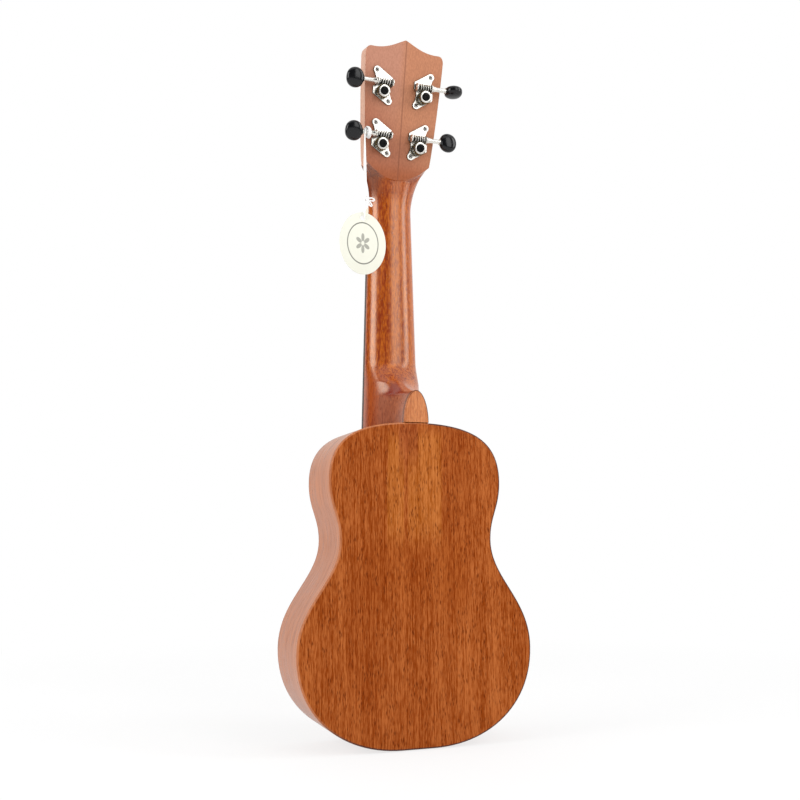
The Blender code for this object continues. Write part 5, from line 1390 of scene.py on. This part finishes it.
spruce = {"deep": (0.50, 0.32, 0.15), "light": (0.68, 0.49, 0.28), "poreColour": (0.36, 0.2, 0.08),
          "shares": (0.5, 0.3, 0.2), "ribbon": (400, 6), "fibre": (900, 60), "fleck": (1500, 200),
          "drift": 0.002, "sway": 0.0002, "pores": (900, 60), "poreWidth": 0.25, "poreDark": 0.4,
          "gloss": 0.6, "glossVaries": 0.15, "relief": 0.2}
insideSpruce = woodFinish("insideSpruce", spruce)
braceSpruce = woodFinish("braceSpruce", spruce, placeOf=crossPlace)
for name in ("top_lining", "back_lining", "neck_block", "tail_block", "soundboard_brace_upper",
             "soundboard_brace_lower", "back_brace_upper", "back_brace_lower"):
    nodes[name].data.materials.clear()
    nodes[name].data.materials.append(braceSpruce if "brace" in name else insideSpruce)


# Studio: pale floor, white backdrop behind the object, three soft boxes and a dim room

studio = {"floor": 1.6, "floorDrop": 0.0005, "whiteFrom": (0.35, 0.8), "floorGlow": 0.75,
          "backdropAt": -1.5, "backdrop": (1.9, 3.0), "backdropDrop": 0.1,
          "white": ((0.86, 0.86, 0.86), (0.9, 0.9, 0.9)), "room": 0.74,
          "curtain": {"radius": 1.9, "height": 2.6, "from": -80, "to": 148, "steps": 32,
                      "colour": (0.04, 0.04, 0.043)},
          # each lamp: its bearing from the object's back, how far off, its width and its lower and upper edge
          "key": {"bearing": -20, "away": 0.95, "width": 0.44, "low": 0.37, "high": 1.5, "power": 4.1},
          "edge": {"bearing": -58, "away": 1.0, "width": 0.34, "low": 0.37, "high": 1.5, "power": 5.6},
          "side": {"bearing": 84, "away": 1.2, "width": 0.8, "low": 0.40, "high": 1.2, "power": 10.4}}


def seenRays(flow):                     # 1 for what the camera sees, also in a reflection or through glass
    camera, glossy, through = (flow.node("LightPath", {}, {}, out=key)
                               for key in ("Is Camera Ray", "Is Glossy Ray", "Is Transmission Ray"))
    return flow.sum("MINIMUM", camera + glossy + through, 1.0)


def studioWhite(name, glow, spread=None):
    look = bpy.data.materials.new(name)
    look.use_nodes = True
    tree = look.node_tree
    tree.nodes.clear()
    flow = Flow(tree)
    paint = cloudOf(flow, scale=3, detail=2.0).blend(*studio["white"])
    matte = flow.node("BsdfDiffuse", {}, {"Color": paint})
    light = flow.node("Emission", {}, {"Color": (1, 1, 1), "Strength": 1.0})
    if spread:                          # whiter away from the object, so that no edge shows
        glow = glow + objectPlace(flow).length().ease(*spread) * (1 - glow)
    lit = flow.node("MixShader", {}, {0: seenRays(flow) * glow, 1: matte, 2: light})
    end = tree.nodes.new("ShaderNodeOutputMaterial")
    tree.links.new(lit.socket, end.inputs["Surface"])
    return look


def bearingSpot(bearing, away, height):
    return Vector((away * math.sin(math.radians(bearing)), away * math.cos(math.radians(bearing)), height))


def curtainPiece():                     # a dark curtain on the camera's side, which only reflections show
    facts = studio["curtain"]
    steps = facts["steps"]
    bearings = [mix(facts["from"], facts["to"], k / steps) for k in range(steps + 1)]
    foot = [bearingSpot(bearing, facts["radius"], 0.0) for bearing in bearings]
    piece = meshPiece("curtain", foot, [(k, k + 1) for k in range(steps)])
    editing(piece, everything=True)
    bpy.ops.mesh.extrude_region_move(TRANSFORM_OT_translate={"value": (0, 0, facts["height"])})
    leaveEdit()
    dark, flow, feed = newFinish("curtainDark", Roughness=1.0)
    folds = objectPlace(flow).stretched((20, 20, 1)).noise(detail=2.0)
    feed(Base_Color=folds.blend(scaled(facts["colour"], 0.8), facts["colour"]))
    piece.data.materials.append(dark)
    piece.visible_camera = piece.visible_diffuse = piece.visible_shadow = False
    return piece


deselectAll()
bpy.ops.mesh.primitive_circle_add(vertices=96, radius=studio["floor"], fill_type="NGON")
floor = settle(named("floor"), Matrix.Translation((0, 0, cadBox[0].z - studio["floorDrop"])))
floor.data.materials.append(studioWhite("floorWhite", studio["floorGlow"], studio["whiteFrom"]))
deselectAll()
bpy.ops.mesh.primitive_plane_add(size=1)
backdrop = named("backdrop")
middle = (0, studio["backdropAt"], studio["backdrop"][1] / 2 - studio["backdropDrop"])
settle(backdrop, Matrix.Translation(middle) @ standUp @ Matrix.Diagonal((*studio["backdrop"], 1, 1)))
backdrop.data.materials.append(studioWhite("backdropWhite", 1.0))
curtain = curtainPiece()

for name in ("key", "edge", "side"):
    facts = studio[name]
    lamp = placed(name, bpy.data.lights.new(name, "AREA"))
    lamp.data.shape = "RECTANGLE"
    lamp.data.size, lamp.data.size_y = facts["width"], facts["high"] - facts["low"]
    lamp.data.energy = facts["power"]
    lamp.visible_camera = False
    lamp.location = bearingSpot(facts["bearing"], facts["away"], (facts["low"] + facts["high"]) / 2)
    lamp.rotation_euler = (math.radians(90), 0, math.radians(180 - facts["bearing"]))

room = bpy.data.worlds.new("room")
bpy.context.scene.world = room
room.use_nodes = True
seen = seenRays(Flow(room.node_tree))
air = room.node_tree.nodes["Background"]
room.node_tree.links.new((seen + (1 - seen) * studio["room"]).socket, air.inputs["Strength"])
air.inputs["Color"].default_value = (1, 1, 1, 1)
print("studio lit")

deselectAll()
